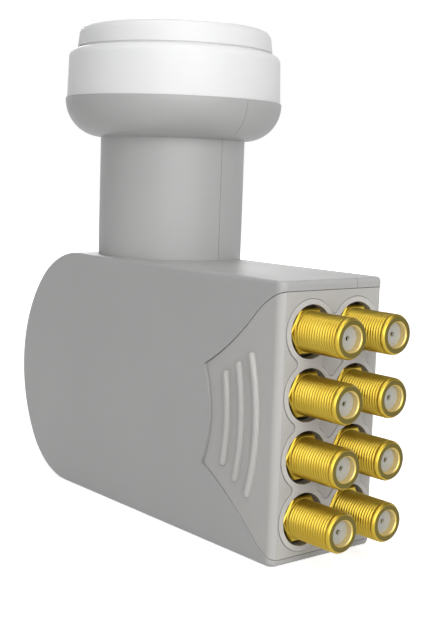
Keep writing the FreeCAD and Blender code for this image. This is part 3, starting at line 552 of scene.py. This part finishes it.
FINISHES = {
    "shell_plastic": MouldedPlastic((0.674, 0.674, 0.672), (0.650, 0.650, 0.648)),
    "cover_plastic": RimmedPlastic((0.718, 0.712, 0.702), (0.700, 0.695, 0.686)),
    "cap_plastic": MouldedPlastic(
        (0.893, 0.894, 0.894), (0.875, 0.877, 0.878), roughness=0.38, grain_height=0.00001, translucency=0.1),
    # gold_plate: root_shade is painted shade in the thread roots, bore a painted lighter bore wall,
    # cut_face_and_shade the cut ends' own tone with painted shade.
    "gold_plate": PlatedMetal(
        (0.790, 0.690, 0.280), (0.750, 0.620, 0.205), cut_face_and_shade=(0.455, 0.412, 0.215),
        root_shade=(0.500, 0.390, 0.100), bore=(0.930, 0.860, 0.640), tip=0.0849),
    # dielectric: its own pale colour, set about 8% darker as painted shade for the insulators sunk in the
    # bores.
    "dielectric": MouldedPlastic(
        (0.655, 0.655, 0.635), (0.62, 0.62, 0.60), roughness=0.5, grain_height=0.00001, translucency=0.15),
    "contact_metal": WorkedMetal((0.60, 0.52, 0.34), (0.46, 0.40, 0.26)),
    "cast_metal": WorkedMetal(
        (0.66, 0.66, 0.66), (0.54, 0.54, 0.55), roughness=0.45, mark_height=0.00006, mark_scale=1500.0),
    "lid_metal": WorkedMetal((0.76, 0.77, 0.78), (0.68, 0.69, 0.70), roughness=0.3, stretch=(1.0, 1.0, 30.0)),
    "seal_rubber": DullCoat((0.10, 0.10, 0.10), (0.20, 0.20, 0.19)),
    "board_laminate": DullCoat((0.06, 0.30, 0.17), (0.12, 0.38, 0.24), roughness=0.35),
    "chip_resin": DullCoat((0.07, 0.07, 0.075), (0.14, 0.14, 0.14), roughness=0.5),
    "screw_steel": WorkedMetal((0.70, 0.70, 0.71), (0.56, 0.56, 0.58), stretch=(18.0, 1.0, 1.0)),
}


# Turned pieces


def turning_tree() -> bpy.types.NodeTree:
    """Builds the tree that turns a profile round an axis, threads it and sets copies in a grid.

    The modified mesh is the profile: its points in order, as (radius, 0, height).

    Returns:
        The geometry node tree.
    """
    kinds = {
        ("NodeSocketGeometry", None): ("Profile",),
        ("NodeSocketInt", 1): ("Segments", "Columns", "Rows"),
        ("NodeSocketFloat", 0.0): ("Thread Pitch", "Thread Depth", "Thread Start", "Thread End",
                                   "Bore Radius", "Column Pitch", "Row Pitch"),
        ("NodeSocketVector", (0.0, 0.0, 0.0)): ("First Place", "Turn"),
        ("NodeSocketMaterial", None): ("Material",),
    }
    maker, given, out = new_group(
        "TurnedPiece", "GeometryNodeTree",
        {title: kind for kind, titles in kinds.items() for title in titles},
        {"Geometry": "NodeSocketGeometry"})
    count = maker.add("GeometryNodeAttributeDomainSize", {0: given["Profile"]},
                      component="MESH").outputs["Point Count"]
    sheet = maker.add("GeometryNodeMeshGrid", {
        "Size X": 1.0, "Size Y": 1.0, "Vertices X": count,
        "Vertices Y": maker.math("ADD", given["Segments"], 1)})
    position = maker.add("GeometryNodeInputPosition").outputs[0]
    spot = maker.split(position)
    along = maker.times(maker.math("ADD", spot[0], 0.5), maker.math("SUBTRACT", count, 1))
    share = maker.math("ADD", spot[1], 0.5)
    sample = maker.add("GeometryNodeSampleIndex", {
        "Geometry": given["Profile"], "Value": position, "Index": maker.math("ROUND", along)},
        data_type="FLOAT_VECTOR", domain="POINT")
    outline, _, height = maker.split(sample.outputs[0])
    turns = maker.math("DIVIDE", height, given["Thread Pitch"])
    phase = maker.math("FRACT", maker.math("SUBTRACT", turns, share))
    flank = maker.math("ABSOLUTE", maker.math("MULTIPLY_ADD", phase, 2.0, -1.0))
    groove = maker.math("MULTIPLY_ADD", flank, FLANK_SLOPE, CREST_SHIFT, clamp=True)
    start = given["Thread Start"]
    end = given["Thread End"]
    half_pitch = maker.times(given["Thread Pitch"], 0.5)
    run_in = maker.ramp(height, start, maker.math("ADD", start, half_pitch))
    run_out = maker.ramp(height, maker.math("SUBTRACT", end, half_pitch), end, 1.0, 0.0)
    cut = maker.times(groove, maker.times(run_in, run_out))
    inwards = maker.times(given["Thread Depth"], -1.0)
    radius = maker.math("MULTIPLY_ADD", cut, inwards, outline)
    angle = maker.times(share, 2 * math.pi)
    place = maker.join(maker.times(radius, maker.math("COSINE", angle)),
                       maker.times(radius, maker.math("SINE", angle)), height)
    threaded = maker.math("GREATER_THAN", given["Thread Depth"], 0.0)
    # The groove depth is stored for painted shade in the thread roots; the bore wall is marked for a painted
    # lighter colour.
    marks = {
        ROOT_SHADE_ATTRIBUTE: maker.times(cut, threaded),
        BORE_LIGHT_ATTRIBUTE: maker.math("LESS_THAN", outline, given["Bore Radius"]),
    }
    marked = sheet.outputs["Mesh"]
    for name, value in marks.items():
        marked = maker.add("GeometryNodeStoreNamedAttribute", {
            "Geometry": marked, "Name": name, "Value": value}, data_type="FLOAT", domain="POINT").outputs[0]
    bent = maker.add("GeometryNodeSetPosition", {"Geometry": marked, "Position": place})
    closed = maker.add("GeometryNodeMergeByDistance", {
        "Geometry": bent.outputs[0], "Distance": JOIN_DISTANCE})
    columns = given["Columns"]
    number = maker.add("GeometryNodeInputIndex").outputs[0]
    across = maker.times(maker.math("MODULO", number, columns), given["Column Pitch"])
    down = maker.math("FLOOR", maker.math("DIVIDE", maker.math("ADD", number, INDEX_NUDGE), columns))
    sunk = maker.times(maker.times(down, given["Row Pitch"]), -1.0)
    moved = maker.add("ShaderNodeVectorMath", {
        0: maker.join(across, 0.0, sunk), 1: given["First Place"]}, operation="ADD")
    places = maker.add("GeometryNodePoints", {
        "Count": maker.times(columns, given["Rows"]), "Position": moved.outputs[0]})
    rotation = maker.add("FunctionNodeEulerToRotation", {0: given["Turn"]})
    copies = maker.add("GeometryNodeInstanceOnPoints", {
        "Points": places.outputs[0], "Instance": closed.outputs[0], "Rotation": rotation.outputs[0]})
    real = maker.add("GeometryNodeRealizeInstances", {0: copies.outputs[0]})
    dressed = maker.add("GeometryNodeSetMaterial", {
        "Geometry": real.outputs[0], "Material": given["Material"]})
    maker.fill(out, {0: dressed.outputs[0]})
    return maker.tree


@dataclass
class PlaceGrid:
    """Where copies of a turned piece stand."""

    columns: int = 1
    rows: int = 1
    column_pitch: float = 0.0
    row_pitch: float = 0.0
    first: tuple[float, float, float] = (0.0, 0.0, 0.0)
    axis: Axis = Axis.UP


@dataclass
class Thread:
    """A screw thread on a turned piece, in millimetres along its axis."""

    pitch: float = 1.0
    depth: float = 0.0
    start: float = 0.0
    end: float = 0.0


Profile = list[tuple[float, float]]


def arc_points(centre: tuple[float, float], radius: float, start: float, end: float,
               steps: int) -> Profile:
    """Lists points along an arc of a profile.

    Args:
        centre: Radius and height of the arc's centre.
        radius: The arc's radius.
        start: Angle of its first point, in degrees from outwards.
        end: Angle of its last point.
        steps: Number of pieces it is cut into.

    Returns:
        The points, both ends among them.
    """
    angles = [math.radians(start + (end - start) * step / steps) for step in range(steps + 1)]
    return [(centre[0] + radius * math.cos(a), centre[1] + radius * math.sin(a)) for a in angles]


def finish_normals(piece: bpy.types.Object, shading: Shading) -> None:
    """Turns a mesh's faces outwards and sets which of its edges look hard.

    Args:
        piece: The mesh object.
        shading: Past which angle an edge is hard.
    """
    mesh = piece.data
    work = bmesh.new()
    work.from_mesh(mesh)
    bmesh.ops.remove_doubles(work, verts=work.verts, dist=SAME_PLACE)
    bmesh.ops.recalc_face_normals(work, faces=work.faces)
    work.to_mesh(mesh)
    work.free()
    mesh.shade_smooth()
    mesh.set_sharp_from_angle(angle=math.radians(shading.value))
    mesh.update()


def new_object(name: str, data: bpy.types.ID) -> bpy.types.Object:
    """Puts a mesh, lamp or camera into the scene as an object at the origin.

    Args:
        name: The object's name.
        data: What it shows.

    Returns:
        The object.
    """
    piece = bpy.data.objects.new(name, data)
    bpy.context.scene.collection.objects.link(piece)
    return piece


def coat(piece: bpy.types.Object, material: bpy.types.Material) -> None:
    """Gives a piece one material slot, with this material."""
    piece.data.materials.clear()
    piece.data.materials.append(material)


def baked(piece: bpy.types.Object) -> bpy.types.Object:
    """Replaces an object's modifiers by their result.

    Args:
        piece: An object with live modifiers.

    Returns:
        The same object, with a plain mesh.
    """
    graph = bpy.context.evaluated_depsgraph_get()
    result = bpy.data.meshes.new_from_object(piece.evaluated_get(graph))
    piece.modifiers.clear()
    old = piece.data
    piece.data = result
    result.name = piece.name
    bpy.data.meshes.remove(old)
    return piece


class Lathe:
    """Makes turned pieces with one geometry node tree."""

    def __init__(self) -> None:
        """Builds the tree and keeps its inputs' identifiers by name."""
        self.tree = turning_tree()
        self.inputs = {
            item.name: item.identifier
            for item in self.tree.interface.items_tree
            if item.item_type == "SOCKET" and item.in_out == "INPUT"
        }

    def turn(self, name: str, profile: Profile, material: bpy.types.Material, segments: int,
             grid: PlaceGrid | None = None, thread: Thread | None = None,
             shading: Shading = Shading.TURNED, bore: float = 0.0) -> bpy.types.Object:
        """Turns a profile and sets its copies in their places.

        Args:
            name: The piece's name.
            profile: Points as (radius, height), in millimetres, in order.
            material: Its material.
            segments: Faces round the axis.
            grid: The copies' places; one at the origin if left out.
            thread: Its thread, if it has one.
            shading: Past which angle an edge is hard.
            bore: Radius inside which a point is marked as the bore's wall.

        Returns:
            The finished object, a plain mesh.
        """
        grid = grid or PlaceGrid()
        thread = thread or Thread()
        mesh = bpy.data.meshes.new(name)
        mesh.from_pydata([(r * MM, 0.0, z * MM) for r, z in profile],
                         [(i, i + 1) for i in range(len(profile) - 1)], [])
        piece = new_object(name, mesh)
        modifier = piece.modifiers.new("Turning", "NODES")
        modifier.node_group = self.tree
        lengths = {
            "Thread Pitch": thread.pitch, "Thread Depth": thread.depth, "Thread Start": thread.start,
            "Thread End": thread.end, "Bore Radius": bore, "Column Pitch": grid.column_pitch,
            "Row Pitch": grid.row_pitch}
        given = {title: value * MM for title, value in lengths.items()} | {
            "Segments": segments, "Columns": grid.columns, "Rows": grid.rows,
            "First Place": tuple(v * MM for v in grid.first), "Turn": grid.axis.value,
            "Material": material}
        for title, value in given.items():
            modifier[self.inputs[title]] = value
        coat(baked(piece), material)
        finish_normals(piece, shading)
        return piece


# Shared by the sub-assemblies


@dataclass
class Workshop:
    """What every sub-assembly builds with: the frame's nodes, the materials and the lathe."""

    nodes: dict[str, bpy.types.Object]
    materials: dict[str, bpy.types.Material]
    lathe: Lathe

    def dress_node(self, node: str, slot: str) -> None:
        """Gives a carried-over node its material.

        Args:
            node: The node's name.
            slot: The material slot's name.
        """
        coat(self.nodes[node], self.materials[slot])
        LOG.info("%s keeps its solid, dressed as %s", node, slot)

    def refined_copy(self, node: str, name: str, bevel: float, slot: str) -> bpy.types.Object:
        """Copies a node's mesh, cleans it and breaks its sharp edges.

        Args:
            node: The node to copy.
            name: The new piece's name.
            bevel: Width of the broken edges, in millimetres.
            slot: The material slot's name.

        Returns:
            The new piece, a plain mesh.
        """
        piece = new_object(name, self.nodes[node].data.copy())
        work = bmesh.new()
        work.from_mesh(piece.data)
        bmesh.ops.remove_doubles(work, verts=work.verts, dist=JOIN_DISTANCE)
        bmesh.ops.dissolve_limit(work, angle_limit=math.radians(FLAT_ANGLE), verts=work.verts,
                                 edges=work.edges)
        work.to_mesh(piece.data)
        work.free()
        coat(piece, self.materials[slot])
        edge = piece.modifiers.new("BrokenEdges", "BEVEL")
        edge.width = bevel * MM
        edge.segments = 2
        edge.limit_method = "ANGLE"
        edge.angle_limit = math.radians(EDGE_ANGLE)
        edge.use_clamp_overlap = True
        edge.miter_outer = "MITER_ARC"
        baked(piece)
        finish_normals(piece, Shading.SOFT)
        level = piece.modifiers.new("LevelFaces", "WEIGHTED_NORMAL")
        level.keep_sharp = True
        level.weight = 100
        return baked(piece)

    def place(self, piece: bpy.types.Object, body: str, slot: str, stands_for: Iterable[str]) -> None:
        """Puts a finished piece on its body.

        Args:
            piece: The piece.
            body: The body it rides on.
            slot: The material slot's name; not used.
            stands_for: The nodes that it replaces.
        """
        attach(piece, body)
        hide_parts(*stands_for)
        LOG.info("%s rides on %s with %d faces", piece.name, body, len(piece.data.polygons))


# Sub-assemblies


@dataclass
class SubAssembly(ABC):
    """Part of the receiver head that is made and dressed on its own, with its sizes in millimetres."""

    shop: Workshop

    @abstractmethod
    def build(self) -> None:
        """Makes the pieces and puts them on their body."""


@dataclass
class FeedCap(SubAssembly):
    """The white cap over the feed: band, rounded shoulder, fine groove and domed disc."""

    seam_height: float = 42.5
    band_radius: float = 29.5
    band_top_radius: float = 29.1
    band_top: float = 55.7
    shoulder: float = 2.3
    groove_width: float = 0.5
    groove_depth: float = 0.5
    disc_radius: float = 26.8
    disc_top_radius: float = 26.4
    disc_top: float = 62.0
    disc_edge: float = 2.6
    apex: float = 64.2
    dome_steps: int = 12
    wall: float = 1.5
    inside_round: float = 2.0
    inside_radius: float = 24.99
    spigot_radius: float = 26.49
    spigot_foot: float = 39.3
    seal_floor: float = 25.99
    seal_low: float = 40.5
    seal_high: float = 41.9
    band_edge: float = 0.25
    disc_foot: float = 0.2
    groove_lip: float = 0.05
    groove_sink: float = 0.02
    disc_edge_sweep: float = 84.0
    sides: int = 192

    def profile(self) -> Profile:
        """Lists the cap's outline from the inside of its band over the top to its axis.

        Returns:
            The outline's points.
        """
        roof = self.disc_top - self.wall
        edge = self.band_edge
        points: Profile = [
            (0.0, roof), (self.inside_radius - self.inside_round, roof),
            (self.inside_radius, roof - self.inside_round), (self.inside_radius, self.spigot_foot),
            (self.spigot_radius, self.spigot_foot), (self.spigot_radius, self.seal_low),
            (self.seal_floor, self.seal_low), (self.seal_floor, self.seal_high),
            (self.spigot_radius, self.seal_high), (self.spigot_radius, self.seam_height),
            (self.band_radius - edge, self.seam_height)]
        points += arc_points((self.band_radius - edge, self.seam_height + edge), edge, -90, 0, 4)
        points += arc_points((self.band_top_radius - self.shoulder, self.band_top - self.shoulder),
                             self.shoulder, 0, 90, 12)
        floor = self.disc_radius - self.groove_depth
        ledge = self.band_top + self.groove_width
        points += [(self.disc_radius + self.groove_lip, self.band_top),
                   (floor, self.band_top - self.groove_sink), (floor, ledge)]
        points += arc_points((self.disc_radius - self.disc_foot, ledge + self.disc_foot),
                             self.disc_foot, -90, 0, 3)
        points += arc_points((self.disc_top_radius - self.disc_edge, self.disc_top - self.disc_edge),
                             self.disc_edge, 0, self.disc_edge_sweep, 12)
        reach = points[-1][0]
        rise = self.apex - points[-1][1]
        shares = [1 - step / self.dome_steps for step in range(1, self.dome_steps + 1)]
        return points + [(reach * share, self.apex - rise * share ** 2) for share in shares]

    def build(self) -> None:
        """Turns the cap and puts it in place of its node."""
        plastic = self.shop.materials["cap_plastic"]
        cap = self.shop.lathe.turn("feed_cap_turned", self.profile(), plastic, self.sides)
        self.shop.place(cap, RECEIVER, "cap_plastic", ["feed_cap"])


@dataclass
class Housing(SubAssembly):
    """The two halves of the weather housing with their neck and collar."""

    bevel: float = 0.18

    def build(self) -> None:
        """Refines both halves and dresses the screws between them."""
        for shell in ("left_shell", "right_shell"):
            piece = self.shop.refined_copy(shell, f"{shell}_moulded", self.bevel, "shell_plastic")
            self.shop.place(piece, RECEIVER, "shell_plastic", [shell])
        self.shop.dress_node("shell_screws", "screw_steel")


@dataclass
class WeatherCover(SubAssembly):
    """The sliding cover with its grip wings and rimmed ports."""

    bevel: float = 0.22

    def build(self) -> None:
        """Refines the cover's mesh and puts it on its own body."""
        cover = self.shop.refined_copy(
            "weather_cover", "weather_cover_moulded", self.bevel, "cover_plastic")
        self.shop.place(cover, COVER, "cover_plastic", ["weather_cover"])


@dataclass
class OutputBlock(SubAssembly):
    """Eight coaxial outputs in two columns of four.

    The points of nose, the chamfer and fine groove at a barrel's tip, are given as (radius,
    distance behind the tip). run_in and run_out are where the thread begins before the hexagon
    and ends behind the tip.
    """

    first_column: float = -13.3
    first_row: float = -11.8
    column_pitch: float = 14.6
    row_pitch: float = 14.7
    tip: float = 84.9
    thread_radius: float = 4.76
    thread_pitch: float = 0.794
    thread_depth: float = 0.32
    steps_per_turn: int = 8
    bore: float = 2.97
    bore_depth: float = 10.5
    lip: float = 0.25
    edge: float = 0.05
    nose: tuple[tuple[float, float], ...] = (
        (4.22, 0.0), (4.30, 0.03), (4.70, 0.60), (4.72, 0.66),
        (4.72, 0.78), (4.58, 0.83), (4.58, 0.91), (4.74, 0.96))
    nose_length: float = 1.05
    run_out: float = 0.95
    root_radius: float = 4.66
    root_round: float = 0.25
    root_height: float = 0.30
    run_in: float = 0.28
    hex_front: float = 71.5
    hex_back: float = 67.4
    hex_radius: float = 6.004
    hex_inside: float = 4.0
    hex_chamfer: tuple[float, float] = (0.35, 0.3)
    insulator_sink: float = 1.5
    insulator_depth: float = 3.0
    insulator_round: float = 0.2
    eyelet_lead: float = 0.15
    contact_radius: float = 0.9
    contact_bore: float = 0.55
    contact_sink: float = 0.5
    contact_depth: float = 2.6
    contact_lead: float = 0.12
    clearance: float = 0.02
    barrel_sides: int = 64
    insulator_sides: int = 40
    contact_sides: int = 24

    @property
    def face(self) -> float:
        """Tells where the insulators' fronts lie, in millimetres along the axis."""
        return self.tip - self.insulator_sink

    def grid(self) -> PlaceGrid:
        """Gives the places of the eight outputs."""
        return PlaceGrid(2, 4, self.column_pitch, self.row_pitch,
                         (self.first_column, 0.0, self.first_row), Axis.FORWARD)

    def barrel_profile(self) -> Profile:
        """Lists the threaded barrel's outline, from its bore over the tip to the hexagon.

        Returns:
            The outline's points.
        """
        tip = self.tip
        inset = self.lip - self.edge
        points: Profile = [(self.bore, tip - self.bore_depth), (self.bore, tip - self.lip),
                           (self.bore + inset, tip - self.edge), (self.bore + self.lip, tip)]
        points += [(radius, tip - behind) for radius, behind in self.nose]
        step = self.thread_pitch / self.steps_per_turn
        height = tip - self.nose_length
        base = self.hex_front + self.root_height
        while height > base:
            points.append((self.thread_radius, height))
            height -= step
        points += [(self.root_radius, base), (self.root_radius, base - self.edge)]
        foot = self.root_radius + self.root_round
        points += arc_points((foot, self.hex_front + self.root_round), self.root_round, 180, 270, 4)
        return points + [(foot, self.hex_front - self.edge)]

    def hexagon_profile(self) -> Profile:
        """Lists the hexagon's outline, with its chamfered front.

        Returns:
            The outline's points.
        """
        inwards, backwards = self.hex_chamfer
        return [(self.hex_inside, self.hex_back), (self.hex_radius, self.hex_back),
                (self.hex_radius, self.hex_front - backwards),
                (self.hex_radius - inwards, self.hex_front), (self.hex_inside, self.hex_front)]

    def insulator_profile(self) -> Profile:
        """Lists the insulator's outline, from the contact's pocket over its eyelet to its rim.

        Returns:
            The outline's points.
        """
        face = self.face
        pocket = self.contact_radius + self.clearance
        eyelet = self.contact_bore
        outside = self.bore - self.clearance
        return [(pocket, face - self.insulator_depth), (pocket, face - self.contact_sink),
                (eyelet, face - self.contact_sink), (eyelet, face - self.eyelet_lead),
                (eyelet + self.edge, face - self.edge), (eyelet + self.eyelet_lead, face),
                (self.bore - self.insulator_round, face), (outside - self.edge, face - self.edge),
                (outside, face - self.insulator_round), (outside, face - self.insulator_depth)]

    def contact_profile(self) -> Profile:
        """Lists the contact sleeve's outline, from the floor of its bore over its rim.

        Returns:
            The outline's points.
        """
        face = self.face
        rim = face - self.contact_sink - self.clearance
        inside = self.contact_bore
        return [(0.0, face - self.contact_depth), (inside, face - self.contact_depth),
                (inside, rim - self.contact_lead), (inside + self.contact_lead, rim),
                (self.contact_radius, rim), (self.contact_radius, face - self.insulator_depth)]

    def build(self) -> None:
        """Turns the barrels, hexagons, insulators and contacts."""
        shop = self.shop
        grid = self.grid()
        gold = shop.materials["gold_plate"]
        thread = Thread(self.thread_pitch, self.thread_depth, self.hex_front + self.run_in,
                        self.tip - self.run_out)
        barrels = shop.lathe.turn("output_barrels", self.barrel_profile(), gold, self.barrel_sides,
                                  grid, thread, bore=self.bore + 2 * self.edge)
        shop.place(barrels, RECEIVER, "gold_plate", [f"f_connector_{i}" for i in range(1, 9)])
        nuts = shop.lathe.turn("output_hexagons", self.hexagon_profile(), gold, 6, grid,
                               shading=Shading.CRISP)
        shop.place(nuts, RECEIVER, "gold_plate", [])
        for name, outline, slot, sides, stem in (
                ("output_insulators", self.insulator_profile(), "dielectric",
                 self.insulator_sides, "insulator"),
                ("output_contacts", self.contact_profile(), "contact_metal",
                 self.contact_sides, "centre_contact")):
            piece = shop.lathe.turn(name, outline, shop.materials[slot], sides, grid)
            shop.place(piece, RECEIVER, slot, [f"{stem}_{i}" for i in range(1, 9)])


@dataclass
class Chassis(SubAssembly):
    """The casting inside with its boards, lids, gaskets, probes and screws."""

    plain: dict[str, str] = field(default_factory=lambda: {
        "chassis_casting": "cast_metal", "cap_seal": "seal_rubber",
        "probe_across": "contact_metal", "probe_along": "contact_metal",
        "probe_bead_across": "dielectric", "probe_bead_along": "dielectric"})
    sided: dict[str, str] = field(default_factory=lambda: {
        "circuit_board": "board_laminate", "shield_lid": "lid_metal", "lid_gasket": "seal_rubber",
        "switch_chip": "chip_resin", "lid_screws": "screw_steel", "board_screws": "screw_steel"})

    def build(self) -> None:
        """Dresses every inner node."""
        for node, slot in self.plain.items():
            self.shop.dress_node(node, slot)
        for stem, slot in self.sided.items():
            for side in ("left", "right"):
                self.shop.dress_node(f"{stem}_{side}", slot)


# Studio


@dataclass
class Softbox:
    """A square area lamp that looks at one point."""

    name: str
    place: tuple[float, float, float]
    size: float
    power: float
    aim: tuple[float, float, float] = (0.0, -0.02, -0.01)

    def build(self) -> None:
        """Hangs the lamp."""
        lamp = bpy.data.lights.new(self.name, "AREA")
        lamp.shape = "SQUARE"
        lamp.size = self.size
        lamp.energy = self.power
        holder = new_object(self.name, lamp)
        towards = Vector(self.aim) - Vector(self.place)
        holder.matrix_world = Matrix.Translation(self.place) @ towards.to_track_quat(
            "-Z", "Y").to_matrix().to_4x4()


@dataclass
class Studio:
    """Pale floor, soft lamps, white surroundings and the camera."""

    floor_height: float = -66.2
    camera_place: tuple[float, float, float] = (-194.0876, -256.309, 23.7394)
    heading: float = 0.8849
    pitch: float = -0.126
    roll: float = 0.0337
    focal_pixels: float = 1138.4234
    frame_height: int = 631
    sensor: float = 36.0
    clip: tuple[float, float] = (0.01, 20.0)
    ambient: float = 0.17
    ceiling: float = 0.2
    ceiling_edge: tuple[float, float] = (0.2, 0.6)
    floor_reach: float = 3.0
    floor_colour: float = 0.78
    floor_glow: float = 0.72
    far_glow: float = 0.90
    glow_reach: tuple[float, float] = (0.25, 1.0)
    mirrored_glow: float = 0.5
    lamps: Sequence[Softbox] = field(default_factory=lambda: (
        Softbox("key_lamp", (-0.38, -0.82, 0.24), 1.1, 9.9),
        Softbox("top_lamp", (-0.10, -0.15, 0.82), 0.6, 2.9),
        Softbox("back_lamp", (0.45, 0.80, 0.50), 0.5, 3.0)))

    def build_camera(self) -> None:
        """Sets the camera where the photograph was taken from."""
        forward = Vector((math.cos(self.pitch) * math.cos(self.heading),
                          math.cos(self.pitch) * math.sin(self.heading), math.sin(self.pitch)))
        level = forward.cross(Vector((0.0, 0.0, 1.0))).normalized()
        upright = level.cross(forward)
        right = math.cos(self.roll) * level + math.sin(self.roll) * upright
        up = -math.sin(self.roll) * level + math.cos(self.roll) * upright
        data = bpy.data.cameras.new("photo_camera")
        data.sensor_width = self.sensor
        data.lens = self.focal_pixels * self.sensor / self.frame_height
        data.clip_start, data.clip_end = self.clip
        camera = new_object("photo_camera", data)
        turn = Matrix((right, up, -forward)).transposed().to_4x4()
        camera.matrix_world = Matrix.Translation(Vector(self.camera_place) * MM) @ turn
        bpy.context.scene.camera = camera

    def ray_kinds(self, maker: NodeMaker) -> tuple[Socket, Socket]:
        """Marks rays from the camera, and rays by way of a shiny or clear surface.

        Args:
            maker: The maker of the tree that asks.

        Returns:
            The sockets of both marks.
        """
        rays = maker.add("ShaderNodeLightPath").outputs
        return rays["Is Camera Ray"], maker.math(
            "MAXIMUM", rays["Is Glossy Ray"], rays["Is Transmission Ray"])

    def build_world(self) -> None:
        """Makes the surroundings: even light, and a white backdrop where the camera looks."""
        world = bpy.data.worlds.new("studio_world")
        bpy.context.scene.world = world
        maker = maker_for(world)
        camera_ray, mirror_ray = self.ray_kinds(maker)
        way = maker.split(maker.add("ShaderNodeTexCoord").outputs["Generated"])
        mirrored = maker.ramp(way[2], *self.ceiling_edge, 1.0, self.ceiling)
        level = maker.choose(mirror_ray, self.ambient, mirrored)
        light = maker.add("ShaderNodeBackground", {
            "Color": WHITE, "Strength": maker.choose(camera_ray, level, 1.0)})
        maker.add("ShaderNodeOutputWorld", {0: light.outputs[0]})

    def build_floor(self) -> None:
        """Lays the pale floor, which keeps the object's shadow."""
        mesh = bpy.data.meshes.new("studio_floor")
        reach = self.floor_reach
        height = self.floor_height * MM
        corners = [(x * reach, y * reach, height) for x, y in ((-1, -1), (1, -1), (1, 1), (-1, 1))]
        mesh.from_pydata(corners, [], [(0, 1, 2, 3)])
        floor = new_object("studio_floor", mesh)
        material = bpy.data.materials.new("studio_floor")
        maker = maker_for(material)
        matt = maker.add("ShaderNodeBsdfDiffuse", {"Color": (self.floor_colour,) * 3 + (1.0,)})
        camera_ray, mirror_ray = self.ray_kinds(maker)
        seen = maker.math("MAXIMUM", camera_ray, maker.times(mirror_ray, self.mirrored_glow))
        spot = maker.add("ShaderNodeTexCoord").outputs["Object"]
        away = maker.add("ShaderNodeVectorMath", {0: spot}, operation="LENGTH")
        level = maker.ramp(away.outputs["Value"], *self.glow_reach, self.floor_glow, self.far_glow)
        glow = maker.add("ShaderNodeEmission", {
            "Color": WHITE, "Strength": maker.times(seen, level)})
        both = maker.add("ShaderNodeAddShader", {0: matt.outputs[0], 1: glow.outputs[0]})
        maker.add("ShaderNodeOutputMaterial", {"Surface": both.outputs[0]})
        mesh.materials.append(material)

    def build(self) -> None:
        """Builds the whole studio."""
        bpy.context.scene.view_settings.view_transform = "Standard"
        self.build_world()
        self.build_floor()
        for lamp in self.lamps:
            lamp.build()
        self.build_camera()
        LOG.info("studio with %d lamps", len(self.lamps))


def main() -> None:
    """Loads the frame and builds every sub-assembly."""
    logging.basicConfig(level=logging.INFO, format="%(name)s: %(message)s")
    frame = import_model()
    effects = SharedEffects()
    materials = {slot: finish.build(slot, effects) for slot, finish in FINISHES.items()}
    shop = Workshop(frame["nodes"], materials, Lathe())
    for assembly in (Housing, FeedCap, WeatherCover, OutputBlock, Chassis):
        assembly(shop).build()
    Studio().build()


if __name__ == "__main__":
    main()
